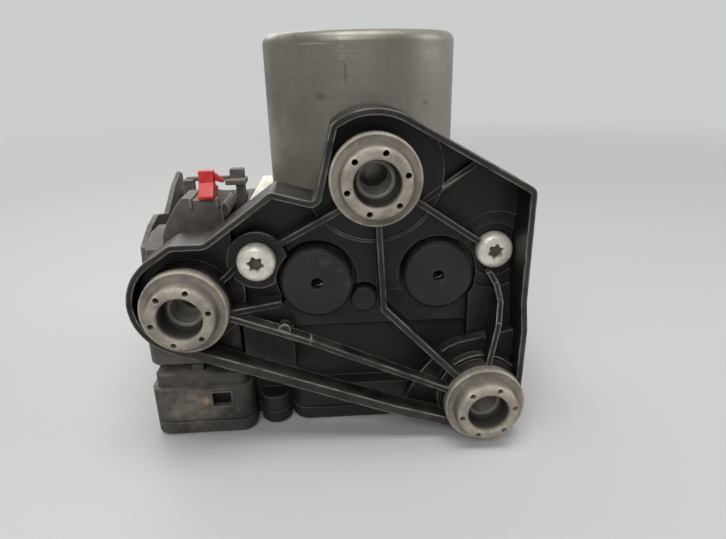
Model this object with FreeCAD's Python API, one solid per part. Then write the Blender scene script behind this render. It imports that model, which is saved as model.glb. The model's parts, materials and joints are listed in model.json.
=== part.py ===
import FreeCAD, Part
import math
import os

# Anti-lock brake hydraulic unit with its motor, control unit, bracket and mated plug.
# Millimetres. +Z up along the motor axis, the bracket faces -Y, and z = 0 is the
# flat underside of the control unit. The origin is on the motor axis.

V = FreeCAD.Vector
EAST = V(1, 0, 0)
NORTH = V(0, 1, 0)
UP = V(0, 0, 1)

# Fits
run_gap = 0.05
seat_gap = 0.1
free_gap = 0.3

# Hydraulic block
block_left = -43.0
block_right = 51.0
block_back = 45.0
block_height = 38.0
block_edge = 0.8
block_step_left = 36.0
block_step_depth = 2.5

# Control unit
cover_height = 5.5
cover_wall = 2.0
unit_height = 37.0
unit_wall = 3.0
seam_height = 0.6
seam_depth = 0.5
main_left = -28.5
main_right = 52.0
main_back = 46.0
main_flange_top = 15.0
main_setback = 6.0
main_corner = 6.0
lobe_left = -76.3
lobe_right = -41.5
lobe_back = 34.0
lobe_shoulder = 18.6
lobe_top = 23.5
lobe_ledge = 1.7
lobe_corner = 5.0
tower_left = -42.6
tower_right = -25.8
tower_foot = 22.0
tower_rise = 3.6
window_x = -52.1
window_z = 14.3
window_width = 6.7
window_height = 5.6
window_depth = 3.5
lug_x = -34.6
lug_radius = 5.4
lug_top = 11.5
key_x = -60.0
key_width = 4.0
board_thickness = 1.6
board_under = 8.0
column_radius = 4.4

# Motor
motor_radius = 33.0
motor_wall = 1.8
motor_top = 132.0
motor_corner = 3.2
motor_flange = 1.6
motor_ear_radius = 6.5
motor_ear_turn = -45.0
end_plate = 4.0
shaft_radius = 3.0
shaft_rise = 7.4
core_gap = 1.1
core_clear = 4.8
winding_room = 8.2
slot_count = 8
slot_width = 5.0
slot_depth = 8.0
commutator_radius = 9.0
commutator_height = 6.0
magnet_thickness = 6.0
magnet_span = 150.0
magnet_lap = 7.0
bearing_radius = 7.0
bearing_height = 6.0
lower_bearing_radius = 8.0
brush_width = 5.0
brush_height = 4.0
brush_length = 9.0

# Pump
pump_rise = 20.0
chamber_radius = 12.0
chamber_rise = 13.0
eccentric_radius = 6.5
eccentric_offset = 1.0
eccentric_height = 6.0
ring_wall = 2.5
piston_radius = 3.5
piston_length = 18.0
pump_plug_radius = 6.0
pump_plug_gap = 4.5

# Valves
valve_columns = (-32.0, -14.0, 14.0, 32.0)
valve_rows = (6.5, 25.5)
valve_radius = 5.0
valve_depth = 12.3
dome_radius = 4.0
dome_length = 17.0
coil_radius = 7.8
coil_height = 15.5
coil_leg = 0.8
valve_window_front = -17.5
valve_window_back = 34.3

# Ports on the rear face: plain bores at the thread's inner diameter
outlet_radius = 4.5
outlet_depth = 14.0
outlet_rise = 27.0
outlet_columns = (-31.0, -9.0, 13.0, 35.0)
inlet_radius = 5.5
inlet_depth = 12.0
inlet_rise = 10.5
inlet_columns = (-20.0, 24.0)
port_face = 1.6

# Pressure stores
store_radius = 9.5
store_depth = 23.5
store_rise = 19.8
left_store_x = -17.1
right_store_x = 22.7
cap_radius = 11.7
left_cap_reach = 9.5
right_cap_reach = 7.0
cap_wall = 2.0
cap_skirt = 3.5
vent_radius = 1.8
store_piston = 5.0
spring_wire = 0.6
spring_turns = 4
spring_stations = 12
spring_sides = 6
stub_x = -1.9
stub_rise = 11.6
stub_radius = 4.6
stub_depth = 6.0

# Bracket
floor_gap = 0.5
floor_wall = 4.0
tray_depth = 12.0
rim_wall = 1.9
left_arc = (-57.6, 54.2, 17.4)
outline_corners = (
    (47.4, 40.0, 3.0),
    (52.4, 50.6, -3.0),
    (46.5, 85.0, 3.0),
)
outline_corners_left = (
    (-7.9, 105.0, 3.2),
    (-17.4, 87.0, -1.5),
    (-28.2, 85.4, 3.0),
    (-51.1, 77.7, -4.0),
    (-58.6, 69.7, 4.0),
)
strut_knee = (9.0, 16.4, 6.0)
middle_knee = (-20.0, 39.6)
slant_bend = (4.0, 48.9)
right_rib_run = (
    (39.2, 58.0, -42.6),
    (41.6, 53.6, -43.6),
    (42.6, 48.6, -45.6),
    (41.8, 41.0, -48.0),
    (38.6, 27.5, -50.5),
)
right_pad_edge = (
    (12.0, -12.0),
    (12.0, 13.0),
    (16.5, 21.5),
    (20.6, 26.4),
    (23.7, 29.2),
    (26.4, 31.2),
    (29.6, 32.6),
    (34.0, 33.6),
    (38.9, 34.6),
    (43.5, 35.8),
    (50.5, 37.2),
    (60.0, 39.2),
    (60.0, -12.0),
)
upper_arc_radius = 19.8
right_arc_radius = 12.6
floor_edge_left = 49.2
floor_edge_right = 51.6
floor_step_x = 3.5
right_column_x = 33.5
cap_notch_radius = 13.1
stub_notch_radius = 6.3
upper_pad_radius = 21.7
upper_pad_rise = 3.5
pad_lip = 1.2
pad_lip_rise = 0.5
right_pad_rise = 4.0
right_pad_foot = 31.0
left_pad_wall = 4.0
left_pad_lap = 1.4
collar_radius = 15.0
collar_rise = 3.0
strut_wall = 3.2
lower_strut_depth = 7.0
middle_strut_depth = 4.5
rib_wall = 1.9
seat_disc_radius = 9.4
left_seat_rise = 4.5
recess_outer_radius = 13.0
recess_inner_radius = 9.0
recess_step = 1.0

# Bushes
bush_length = 19.6
bush_flange_radius = 14.0
bush_flange_behind = 6.6
bush_ring_radius = 10.2
bush_waist_radius = 9.4
bush_tail_radius = 11.9
bush_bore_radius = 6.7
bush_hole_radius = 1.0
bush_hole_circle = 8.8
bush_hole_depth = 6.0
bush_hole_count = 6
socket_radius = 13.6
socket_plate = 4.5
sleeve_radius = 6.2
sleeve_bore = 4.5
sleeve_length = 12.0
bush_places = {
    "upper": (1.6, 91.3, 74.5),
    "left": (-57.5, 52.8, 71.6),
    "right": (37.4, 14.2, 69.3),
}

# Bracket bolts
bolt_head_radius = 6.1
bolt_head_height = 4.0
bolt_shank_radius = 2.5
bolt_grip = 14.0
lobe_recess_radius = 2.7
lobe_recess_root = 1.9
lobe_recess_depth = 2.4
left_bolt = (-35.5, 65.3)
right_bolt = (41.4, 64.2)

# Machine screws inside
screw_radius = 2.1
screw_head_radius = 3.8
screw_head_height = 2.6
unit_screw_places = ((-36.0, -23.0), (45.0, -23.0), (-36.0, 39.0), (45.0, 39.0))
unit_screw_rise = 9.0

# Plug, mated on the header
skirt_left = -76.3
skirt_right = -44.7
skirt_back = 32.0
skirt_gap = 2.3
skirt_top = 42.0
skirt_wall = 2.6
skirt_corner = 4.0
upper_left = -74.0
upper_right = -47.0
upper_front = -30.0
upper_back = 24.0
upper_top = 62.0
shroud_wall = 1.8
shroud_gap = 2.0
shroud_top = 38.8
pin_side = 0.9
pin_columns = 12
pin_pitch = 4.2
pin_row = 6.0
hood_left = -68.4
hood_right = -47.4
hood_top = 82.5
hood_shoulder = 13.0
hood_shoulder_run = 8.0
hood_slope_start = -16.0
hood_tail = 71.0
hood_wall = 2.0
hood_front = -28.0
hood_back = 24.0
rib_radius = 2.4
latch_left = -54.6
latch_right = -49.7
latch_foot = 81.9
latch_top = 90.7
latch_room = 2.2
pivot_y = -4.0
pivot_z = 54.0
pivot_radius = 3.0
arm_wall = 2.0
arm_left = -76.5
arm_right = -44.6
bail_reach = 37.0
bail_angle = 25.5
bail_radius = 2.3
lever_tip_rise = 27.0
lever_dip_rise = 15.6

# Places worked out from the sizes above
block_bottom = unit_height
motor_flange_radius = motor_radius + 1.0
motor_ear_reach = motor_radius + 5.0
block_front = -(motor_flange_radius + 0.5)
main_front = block_front - 2.5
lobe_front = block_front - 7.5
tower_front = block_front - 5.5
skirt_front = block_front - 3.5
lug_y = block_front + 1.3
tower_top = block_bottom + tower_rise
skirt_foot = lobe_top + skirt_gap
shaft_foot = block_bottom + shaft_rise
pump_z = block_bottom + pump_rise
chamber_foot = block_bottom + chamber_rise
outlet_z = block_bottom + outlet_rise
inlet_z = block_bottom + inlet_rise
store_z = block_bottom + store_rise
stub_z = block_bottom + stub_rise
unit_screw_top = block_bottom + unit_screw_rise
block_top = block_bottom + block_height
floor_back = block_front - floor_gap
floor_front = floor_back - floor_wall
rim_front = floor_front - tray_depth
bush_front = rim_front - 7.6
right_pad_back = main_front - 1.6
upper_pad_front = floor_front - upper_pad_rise
right_pad_front = floor_front - right_pad_rise
step_face = block_front + block_step_depth
left_seat = floor_front - left_seat_rise
right_seat = floor_front + 2 * recess_step
upper_front_face = main_front + main_setback
unit_left = block_left - 1.0
bush_back = bush_front + bush_length
flange_face = bush_front + bush_flange_behind
sleeve_front = bush_back - sleeve_length
store_floor = block_front + store_depth
board_top = board_under + board_thickness
core_radius = motor_radius - motor_wall - seat_gap - magnet_thickness - core_gap
core_foot = block_top + end_plate + 3.0 + brush_height + 1.2 + core_clear
core_height = motor_top - motor_wall - bearing_height - winding_room - core_foot
magnet_height = core_height + 2 * magnet_lap


def block(x0, x1, y0, y1, z0, z1):
    return Part.makeBox(x1 - x0, y1 - y0, z1 - z0, V(x0, y0, z0))


def rod_x(y, z, r, x0, x1):
    return Part.makeCylinder(r, x1 - x0, V(x0, y, z), EAST)


def rod_y(x, z, r, y0, y1):
    return Part.makeCylinder(r, y1 - y0, V(x, y0, z), NORTH)


def rod_z(x, y, r, z0, z1):
    return Part.makeCylinder(r, z1 - z0, V(x, y, z0), UP)


def slab(x0, x1, y0, y1, z0, z1, r):
    """Upright block whose four upright edges are rounded."""
    body = block(x0, x1, y0, y1, z0, z1)
    upright = [e for e in body.Edges if abs(e.tangentAt(e.FirstParameter).z) > 0.9]
    return body.makeFillet(r, upright)


def join(first, *others):
    return first.fuse(list(others)).removeSplitter()


def turned_y(profile, x, z):
    """Turned piece on an axis along Y; the profile lists (radius, y)."""
    points = [V(r, y, 0) for r, y in profile]
    face = Part.Face(Part.makePolygon(points + points[:1]))
    solid = face.revolve(V(0, 0, 0), NORTH, 360)
    solid.translate(V(x, 0, z))
    return solid


def turned_z(profile, x=0.0, y=0.0):
    """Turned piece on an upright axis; the profile lists (radius, z)."""
    points = [V(r, 0, z) for r, z in profile]
    face = Part.Face(Part.makePolygon(points + points[:1]))
    solid = face.revolve(V(0, 0, 0), UP, 360)
    solid.translate(V(x, y, 0))
    return solid


def upright_plate(points, y0, y1):
    """Flat plate facing -Y; the outline lists (x, z)."""
    outline = [V(x, y0, z) for x, z in points]
    face = Part.Face(Part.makePolygon(outline + outline[:1]))
    return face.extrude(V(0, y1 - y0, 0))


def side_plate(points, x0, x1):
    """Flat plate facing -X; the outline lists (y, z)."""
    outline = [V(x0, y, z) for y, z in points]
    face = Part.Face(Part.makePolygon(outline + outline[:1]))
    return face.extrude(V(x1 - x0, 0, 0))


def belt(circles, y0, y1, inset=0.0):
    """Plate whose outline runs round circles (x, z, r); a negative r is a hollow corner."""
    count = len(circles)
    normals = []
    for i in range(count):
        ax, az, ar = circles[i]
        bx, bz, br = circles[(i + 1) % count]
        reach = math.hypot(bx - ax, bz - az)
        heading = math.atan2(bz - az, bx - ax)
        normals.append(heading - math.acos((ar - br) / reach))
    edges = []
    ends = []
    for i in range(count):
        x, z, r = circles[i]
        r = r - inset
        start = normals[i - 1]
        stop = normals[i]
        turn = (stop - start + math.pi) % (2 * math.pi) - math.pi
        if r > 0 and turn < 0:
            turn = turn + 2 * math.pi
        middle = start + turn / 2
        angles = (start, middle, start + turn)
        points = [V(x + r * math.cos(a), y0, z + r * math.sin(a)) for a in angles]
        edges.append(Part.Arc(*points).toShape())
        ends.append((points[0], points[2]))
    for i in range(count):
        edges.append(Part.LineSegment(ends[i][1], ends[(i + 1) % count][0]).toShape())
    wire = Part.Wire(Part.__sortEdges__(edges))
    return Part.Face(wire).extrude(V(0, y1 - y0, 0))


def upright_rib(start, stop, front_start, front_stop, back, wall=rib_wall):
    """Thin upright web between two (x, z) points; its front edge may slope."""
    run = V(stop[0] - start[0], 0, stop[1] - start[1])
    across = V(-run.z, 0, run.x).normalize() * (wall / 2)
    corners = [
        V(start[0], front_start, start[1]),
        V(stop[0], front_stop, stop[1]),
        V(stop[0], back, stop[1]),
        V(start[0], back, start[1]),
    ]
    corners = [c - across for c in corners]
    face = Part.Face(Part.makePolygon(corners + corners[:1]))
    return face.extrude(across * 2)


def six_lobe_recess(x, z, face, depth):
    """Recess of a six-lobe driver, cut into a head that faces -Y; its lobes are left pointed."""
    points = []
    for i in range(12):
        a = math.radians(30 * i + 15)
        reach = lobe_recess_radius if i % 2 == 0 else lobe_recess_root
        points.append((x + reach * math.cos(a), z + reach * math.sin(a)))
    return upright_plate(points, face, face + depth)


def export(name, shape):
    shape.exportStep("parts/" + name + ".step")
    print(name, len(shape.Solids), round(shape.Volume, 1), shape.isValid())


def bracket_circles():
    """Corners of the bracket's outline, from the right bush round to the left one."""
    upper = bush_places["upper"]
    right = bush_places["right"]
    circles = [(right[0], right[1], right_arc_radius)]
    circles.extend(outline_corners)
    circles.append((upper[0], upper[1], upper_arc_radius))
    circles.extend(outline_corners_left)
    return circles + [left_arc, strut_knee]


def bracket_floor():
    """Floor of the tray, cut away below its lower edge and round the caps."""
    circles = bracket_circles()
    body = belt(circles, floor_front, floor_back, rim_wall / 2)
    left_side = left_arc[0] + socket_radius
    front = floor_front - 1
    back = floor_back + 1
    below_left = block(left_side, floor_step_x, front, back, -20, floor_edge_left)
    below_right = block(floor_step_x, right_column_x, front, back, -20, floor_edge_right)
    below_pad = block(right_column_x, block_right + 9, front, back, -20, right_pad_foot)
    body = body.cut([below_left, below_right, below_pad])
    for x in (left_store_x, right_store_x):
        body = body.cut(rod_y(x, store_z, cap_notch_radius, floor_front - 1, floor_back + 1))
    return body.cut(rod_y(stub_x, stub_z, stub_notch_radius, floor_front - 1, floor_back + 1))


def bracket_rim():
    """Wall round the tray; below the left bush it runs on as the slim lower strut."""
    circles = bracket_circles()
    right = bush_places["right"]
    outer = belt(circles, rim_front, floor_back)
    inner = belt(circles, rim_front - 1, floor_back + 1, rim_wall)
    wall = outer.cut(inner)
    strut_back = rim_front + lower_strut_depth
    left_side = left_arc[0] + socket_radius
    behind_strut = block(left_side, right[0], strut_back, floor_back + 1, -20, floor_edge_left - 4)
    behind_right = block(right[0] - 1, block_right + 9, right_pad_back, floor_back + 1, -20, right_pad_foot)
    return wall.cut([behind_strut, behind_right])


def bracket_struts():
    """Slim struts from the left socket to the right one."""
    circles = bracket_circles()
    left = bush_places["left"]
    right = bush_places["right"]
    circles = [circles[0], left_arc, strut_knee]
    lower = belt(circles, rim_front, rim_front + lower_strut_depth)
    lower = lower.cut(belt(circles, rim_front - 1, 0, strut_wall))
    reach = left_arc[2] + 5
    corners = [
        (left_arc[0], left_arc[1]),
        (left_arc[0], left_arc[1] - reach),
        (right[0], right[1] - reach),
        (right[0], right[1]),
        (strut_knee[0], strut_knee[1] - 1),
    ]
    lower = lower.common(upright_plate(corners, rim_front - 1, 0))
    knee = middle_knee
    back = rim_front + middle_strut_depth
    first = upright_rib((left[0] + 9, left[1] - 2.0), knee, rim_front, rim_front, back)
    second = upright_rib(knee, (right[0] - 9, right[1] + 3.4), rim_front, rim_front, back)
    bump = rod_y(knee[0] - 7.8, knee[1] + 4.4, 1.9, rim_front + 1, back)
    return [lower, first, second, bump]


def bracket_ribs():
    """Webs that tie the sockets, bolt seats and pads together."""
    left = bush_places["left"]
    upper = bush_places["upper"]
    right = bush_places["right"]
    tall = rim_front + 0.5
    low = floor_front - 4.5
    bend = slant_bend
    back = floor_front + 1
    ledge = floor_edge_left + 0.95
    runs = [
        ((left[0] + 8, left[1] + 5), (left_bolt[0] - 6, left_bolt[1] - 1.5), tall, left_seat, back),
        ((left[0] + 10, ledge), (left_store_x - 11, ledge), tall, low, back),
        ((left_bolt[0] + 6.0, left_bolt[1] + 4.3), (upper[0] - 8, upper[1] - 7.6), low, tall, back),
        ((upper[0] + 8, upper[1] - 4.2), (right_bolt[0] - 6.6, right_bolt[1] + 4.8), tall, low - 1, back),
        ((upper[0] + 0.6, upper[1] - 10), bend, tall, tall + 2, back),
        ((right_bolt[0] - 8.5, block_top + 18), (upper[0] + 15, upper[1] - 9), floor_front - 2, low, back),
    ]
    ribs = [upright_rib(*run) for run in runs]
    slant_foot = (right[0] - 8.5, right[1] + 9)
    ribs.append(upright_rib(bend, slant_foot, tall + 2, tall, right_pad_front + 2, rib_wall + 0.3))
    ribs.append(rod_y(bend[0], bend[1], rib_wall / 2 + 0.15, tall + 2, back))
    for start, stop in zip(right_rib_run, right_rib_run[1:]):
        back = floor_front + 1 if start[1] > floor_edge_right else right_pad_front + 2
        ribs.append(upright_rib(start[:2], stop[:2], start[2], stop[2], back))
    for x, z, front in right_rib_run[1:-1]:
        ribs.append(rod_y(x, z, rib_wall / 2, front, right_pad_front + 2))
    return ribs


def mounting_bracket():
    circles = bracket_circles()
    right = bush_places["right"]
    upper = bush_places["upper"]
    inside = belt(circles, rim_front - 1, 0, rim_wall / 2)
    upper_pad = rod_y(upper[0], upper[1], upper_pad_radius, upper_pad_front, floor_front + 1)
    upper_pad = upper_pad.common(inside)
    right_pad = upright_plate(right_pad_edge, right_pad_front, right_pad_back).common(inside)
    collar_front = right_pad_front - collar_rise
    collar = rod_y(right[0], right[1], collar_radius, collar_front, right_pad_front + 1)
    collar = collar.common(inside)
    solids = [bracket_rim(), upper_pad, pad_lip_ring(inside), right_pad, collar]
    solids = solids + bracket_struts() + bracket_ribs()
    solids.append(rod_y(left_bolt[0], left_bolt[1], seat_disc_radius, left_seat, block_front))
    seat_post = rod_y(right_bolt[0], right_bolt[1], recess_inner_radius - 0.6, right_seat, step_face)
    solids.append(seat_post.common(inside_block_side()))
    for x, z, turn in bush_places.values():
        solids.append(rod_y(x, z, socket_radius, sleeve_front, right_pad_back))
    body = bracket_floor().fuse(solids)
    plug_side = skirt_right + free_gap
    body = body.cut(block(lobe_left - 9, plug_side, right_pad_back, 0, -20, block_top + 9))
    pad_front = right_pad_back - left_pad_wall
    pad_side = plug_side + left_pad_lap
    left_pad = block(lobe_left - 9, pad_side, pad_front, right_pad_back, left_arc[1] - 4, block_top + 9)
    left_disc = rod_y(left_arc[0], left_arc[1], left_arc[2], pad_front, right_pad_back)
    body = body.fuse([left_pad.common(inside), left_disc.common(inside)])
    cuts = []
    for x, z, turn in bush_places.values():
        cuts.append(rod_y(x, z, bush_flange_radius + free_gap, rim_front - 9, sleeve_front))
        cuts.append(rod_y(x, z, bush_waist_radius + seat_gap, rim_front - 9, 0))
        cuts.append(rod_y(x, z, bush_tail_radius + seat_gap, sleeve_front + socket_plate, 0))
    for x, z, seat in (left_bolt + (left_seat,), right_bolt + (right_seat,)):
        cuts.append(rod_y(x, z, bolt_head_radius + free_gap, rim_front - 1, seat))
        cuts.append(rod_y(x, z, bolt_shank_radius + free_gap, rim_front, 0))
    for x in (left_store_x, right_store_x):
        cuts.append(rod_y(x, store_z, cap_notch_radius, rim_front + 2, 0))
    body = body.cut(cuts)
    x, z = right_bolt
    outer_recess = rod_y(x, z, recess_outer_radius, floor_front - 0.01, floor_front + recess_step)
    inner_recess = rod_y(x, z, recess_inner_radius, floor_front, right_seat)
    tray = belt(circles, rim_front, right_seat, rim_wall)
    body = body.cut([outer_recess.common(tray), inner_recess.common(tray)])
    return body.removeSplitter()


def pad_lip_ring(inside):
    """Raised lip along the lower edge of the upper pad."""
    x, z, turn = bush_places["upper"]
    front = upper_pad_front - pad_lip_rise
    ring = rod_y(x, z, upper_pad_radius, front, floor_front + 1)
    ring = ring.cut(rod_y(x, z, upper_pad_radius - pad_lip, front - 1, 0))
    below = block(x - 15.5, x + 16.5, front - 1, 0, z - upper_pad_radius - 1, z - 12)
    return ring.common(below).common(inside)


def inside_block_side():
    """Space that the right seat may fill: it stays on the block's stepped face."""
    return block(block_step_left, block_right, right_seat - 1, step_face, block_bottom, block_top)


def bush(x, z, turn):
    """Rubber bush with a stepped bore and six blind holes in its front ring."""
    lip = flange_face - 1.6
    rounding = 0.9
    profile = [
        (sleeve_radius, bush_back),
        (sleeve_radius, sleeve_front),
        (bush_bore_radius, sleeve_front),
        (bush_bore_radius, bush_front + rounding),
        (bush_bore_radius + 0.5, bush_front),
        (bush_ring_radius - rounding, bush_front),
        (bush_ring_radius, bush_front + rounding),
        (bush_ring_radius + 0.6, lip - 1.0),
        (bush_flange_radius - 2.0, lip),
        (bush_flange_radius, lip + 1.0),
        (bush_flange_radius, sleeve_front),
        (bush_waist_radius, sleeve_front),
        (bush_waist_radius, sleeve_front + socket_plate),
        (bush_tail_radius, sleeve_front + socket_plate),
        (bush_tail_radius, bush_back - 5.0),
        (bush_waist_radius, bush_back),
    ]
    body = turned_y(profile, x, z)
    holes = []
    for i in range(bush_hole_count):
        a = math.radians(turn + 360 / bush_hole_count * i)
        hx = x + bush_hole_circle * math.cos(a)
        hz = z + bush_hole_circle * math.sin(a)
        holes.append(rod_y(hx, hz, bush_hole_radius, bush_front - 1, bush_front + bush_hole_depth))
    return body.cut(holes)


def bush_sleeve(x, z):
    outer = rod_y(x, z, sleeve_radius - run_gap, sleeve_front, bush_back)
    return outer.cut(rod_y(x, z, sleeve_bore, sleeve_front - 1, bush_back + 1))


def bracket_bolt(x, z, seat):
    """Pan-head bolt: low domed head and plain shank at the thread's inner diameter."""
    top = seat - bolt_head_height
    profile = [
        (0, top),
        (bolt_head_radius * 0.72, top + 0.15),
        (bolt_head_radius * 0.93, top + 0.8),
        (bolt_head_radius, top + 1.9),
        (bolt_head_radius, seat),
        (bolt_shank_radius, seat),
        (bolt_shank_radius, seat + bolt_grip - 1),
        (bolt_shank_radius - 0.8, seat + bolt_grip),
        (0, seat + bolt_grip),
    ]
    return turned_y(profile, x, z).cut(six_lobe_recess(x, z, top - 0.5, lobe_recess_depth + 0.5))


def hydraulic_block():
    body = block(block_left, block_right, block_front, block_back, block_bottom, block_top)
    body = body.makeChamfer(block_edge, body.Edges)
    low = block_bottom - 1
    step = block(block_step_left, block_right + 1, block_front - 1, step_face, low, block_top + 1)
    cuts = [step]
    cuts.append(rod_z(0, 0, chamber_radius, chamber_foot, block_top + 1))
    cuts.append(rod_z(0, 0, lower_bearing_radius + run_gap, shaft_foot - 0.4, chamber_foot))
    for side in (-1, 1):
        face = block_right if side > 0 else -block_left
        low, high = sorted((side * (chamber_radius - 3), side * (face + 1)))
        cuts.append(rod_x(0, pump_z, piston_radius + run_gap, low, high))
        low, high = sorted((side * pump_plug_face(), side * (face + 1)))
        cuts.append(rod_x(0, pump_z, pump_plug_radius + run_gap, low, high))
    for x in valve_columns:
        for y in valve_rows:
            cuts.append(rod_z(x, y, valve_radius + run_gap, block_bottom - 1, block_bottom + valve_depth))
    for x in outlet_columns:
        cuts.append(rod_y(x, outlet_z, outlet_radius, block_back - outlet_depth, block_back + 1))
        cuts.append(rod_y(x, outlet_z, outlet_radius + port_face, block_back - 1, block_back + 1))
    for x in inlet_columns:
        cuts.append(rod_y(x, inlet_z, inlet_radius, block_back - inlet_depth, block_back + 1))
        cuts.append(rod_y(x, inlet_z, inlet_radius + port_face, block_back - 1, block_back + 1))
    for x in (left_store_x, right_store_x):
        cuts.append(rod_y(x, store_z, store_radius, block_front - 1, store_floor))
    cuts.append(rod_y(stub_x, stub_z, stub_radius + run_gap, block_front - 1, block_front + stub_depth))
    for x, z, seat in (left_bolt + (left_seat,), right_bolt + (right_seat,)):
        hole_end = seat + bolt_grip + 1
        cuts.append(rod_y(x, z, bolt_shank_radius + run_gap, block_front - 1, hole_end))
    for x, y in motor_ear_places():
        cuts.append(rod_z(x, y, screw_radius + run_gap, block_top - 7, block_top + 1))
    for x, y in unit_screw_places:
        cuts.append(rod_z(x, y, screw_radius + run_gap, block_bottom - 1, unit_screw_top + 1))
    return body.cut(cuts)


def pump_plug_face():
    return eccentric_radius + ring_wall + eccentric_offset + free_gap + piston_length + pump_plug_gap


def motor_ear_places():
    a = math.radians(motor_ear_turn)
    x = motor_ear_reach * math.cos(a)
    y = motor_ear_reach * math.sin(a)
    return ((x, y), (-x, -y))


def accumulator_cap(x, reach):
    """Cap with a central vent; its skirt enters the bore of the pressure store."""
    front = block_front - reach
    inside = front + cap_wall
    skirt = store_radius - run_gap
    profile = [
        (vent_radius, front + 0.2),
        (vent_radius + 0.3, front),
        (cap_radius - 1.0, front),
        (cap_radius, front + 1.0),
        (cap_radius, block_front),
        (skirt, block_front),
        (skirt, block_front + cap_skirt),
        (skirt - 1.5, block_front + cap_skirt),
        (skirt - 1.5, inside),
        (vent_radius, inside),
    ]
    return turned_y(profile, x, store_z)


def accumulator_piston(x):
    """Cup piston at the inner end of its bore."""
    outer = store_radius - run_gap
    inner_end = store_floor - free_gap
    front = inner_end - store_piston
    profile = [
        (0, inner_end),
        (outer - 0.8, inner_end),
        (outer, inner_end - 0.8),
        (outer, front),
        (outer - 1.6, front),
        (outer - 1.6, front + 2.5),
        (0, front + 2.5),
    ]
    return turned_y(profile, x, store_z)


def accumulator_spring(x, reach):
    """Cone spring: narrow against the cap's vent, wide in the piston's cup."""
    front = block_front - reach + cap_wall + spring_wire + 0.1
    back = store_floor - free_gap - store_piston + 2.5 - spring_wire - 0.1
    narrow = 2.4
    wide = store_radius - 2.6 - spring_wire
    length = back - front
    stations = spring_turns * spring_stations
    sections = []
    for i in range(stations + 1):
        share = i / stations
        a = 2 * math.pi * spring_turns * share
        radial = V(math.cos(a), 0, math.sin(a))
        centre = V(x, front + length * share, store_z) + radial * (narrow + (wide - narrow) * share)
        ring = []
        for k in range(spring_sides):
            b = 2 * math.pi * k / spring_sides
            ring.append(centre + radial * (spring_wire * math.cos(b)) + NORTH * (spring_wire * math.sin(b)))
        sections.append(Part.makePolygon(ring + ring[:1]))
    return Part.makeLoft(sections, True, True)


def pressure_stub():
    profile = [
        (0, floor_front - 0.4),
        (stub_radius - 0.7, floor_front - 0.4),
        (stub_radius, floor_front + 0.3),
        (stub_radius, block_front + stub_depth - 0.5),
        (0, block_front + stub_depth - 0.5),
    ]
    return turned_y(profile, stub_x, stub_z)


def motor_can():
    """Deep-drawn can with a bearing pocket inside its closed end and two ears."""
    inner = motor_radius - motor_wall
    pocket = bearing_radius + run_gap
    pocket_foot = motor_top - motor_wall - bearing_height
    shell = rod_z(0, 0, motor_radius, block_top, motor_top)
    rim_edges = [e for e in shell.Edges if abs(e.BoundBox.ZMin - motor_top) < 0.01 and e.Closed]
    shell = shell.makeFillet(motor_corner, rim_edges[:1])
    flange = rod_z(0, 0, motor_flange_radius, block_top, block_top + motor_flange)
    solids = [flange]
    for x, y in motor_ear_places():
        solids.append(rod_z(x, y, motor_ear_radius, block_top, block_top + motor_flange))
    shell = shell.fuse(solids)
    hollow = rod_z(0, 0, inner, block_top - 1, motor_top - motor_wall)
    boss = rod_z(0, 0, pocket + motor_wall, pocket_foot, motor_top - motor_wall)
    hollow = hollow.cut(boss.cut(rod_z(0, 0, pocket, pocket_foot - 1, motor_top)))
    shell = shell.cut(hollow)
    for x, y in motor_ear_places():
        hole = rod_z(x, y, screw_radius + seat_gap, block_top - 1, block_top + motor_flange + 1)
        shell = shell.cut(hole)
    return shell


def motor_screws():
    screws = []
    for x, y in motor_ear_places():
        seat = block_top + motor_flange
        head = rod_z(x, y, screw_head_radius, seat, seat + screw_head_height)
        shank = rod_z(x, y, screw_radius, block_top - 6.5, seat)
        screws.append(join(head, shank))
    return Part.makeCompound(screws)


def motor_end_plate():
    """Brush plate inside the open end of the can, with two brush boxes."""
    outer = motor_radius - motor_wall - seat_gap
    plate = rod_z(0, 0, outer, block_top, block_top + end_plate)
    top = brush_foot() + brush_height + 1.2
    for side in (-1, 1):
        low, high = sorted((side * (commutator_radius + 1.5), side * (commutator_radius + brush_length)))
        half = brush_width / 2 + 1.4
        plate = plate.fuse(block(-half, half, low, high, block_top + end_plate - 1, top))
    plate = plate.cut(rod_z(0, 0, shaft_radius + 2, block_top - 1, block_top + end_plate + 1))
    for side in (-1, 1):
        low, high = sorted((side * commutator_radius, side * (commutator_radius + brush_length + 1)))
        half = brush_width / 2 + seat_gap
        foot = brush_foot() - seat_gap
        plate = plate.cut(block(-half, half, low, high, foot, foot + brush_height + 2 * seat_gap))
    return plate.removeSplitter()


def brush_foot():
    return block_top + end_plate + 3.0


def motor_brush(side):
    low, high = sorted((side * (commutator_radius + seat_gap), side * (commutator_radius + brush_length)))
    half = brush_width / 2
    return block(-half, half, low, high, brush_foot(), brush_foot() + brush_height)


def motor_magnet(side):
    """Curved magnet against the inside of the can."""
    outer = motor_radius - motor_wall - seat_gap
    inner = outer - magnet_thickness
    foot = core_foot - (magnet_height - core_height) / 2
    ring = Part.makeCylinder(outer, magnet_height, V(0, 0, foot), UP, magnet_span)
    ring = ring.cut(rod_z(0, 0, inner, foot - 1, foot + magnet_height + 1))
    ring.rotate(V(0, 0, 0), UP, -magnet_span / 2 + (0 if side > 0 else 180))
    return ring


def rotor_shaft():
    """Shaft and its eccentric, turned from one bar."""
    top = motor_top - motor_wall - 0.6
    shaft = rod_z(0, 0, shaft_radius, shaft_foot, top)
    foot = pump_z - eccentric_height / 2
    cam = rod_z(0, eccentric_offset, eccentric_radius, foot, foot + eccentric_height)
    return join(shaft, cam)


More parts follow.
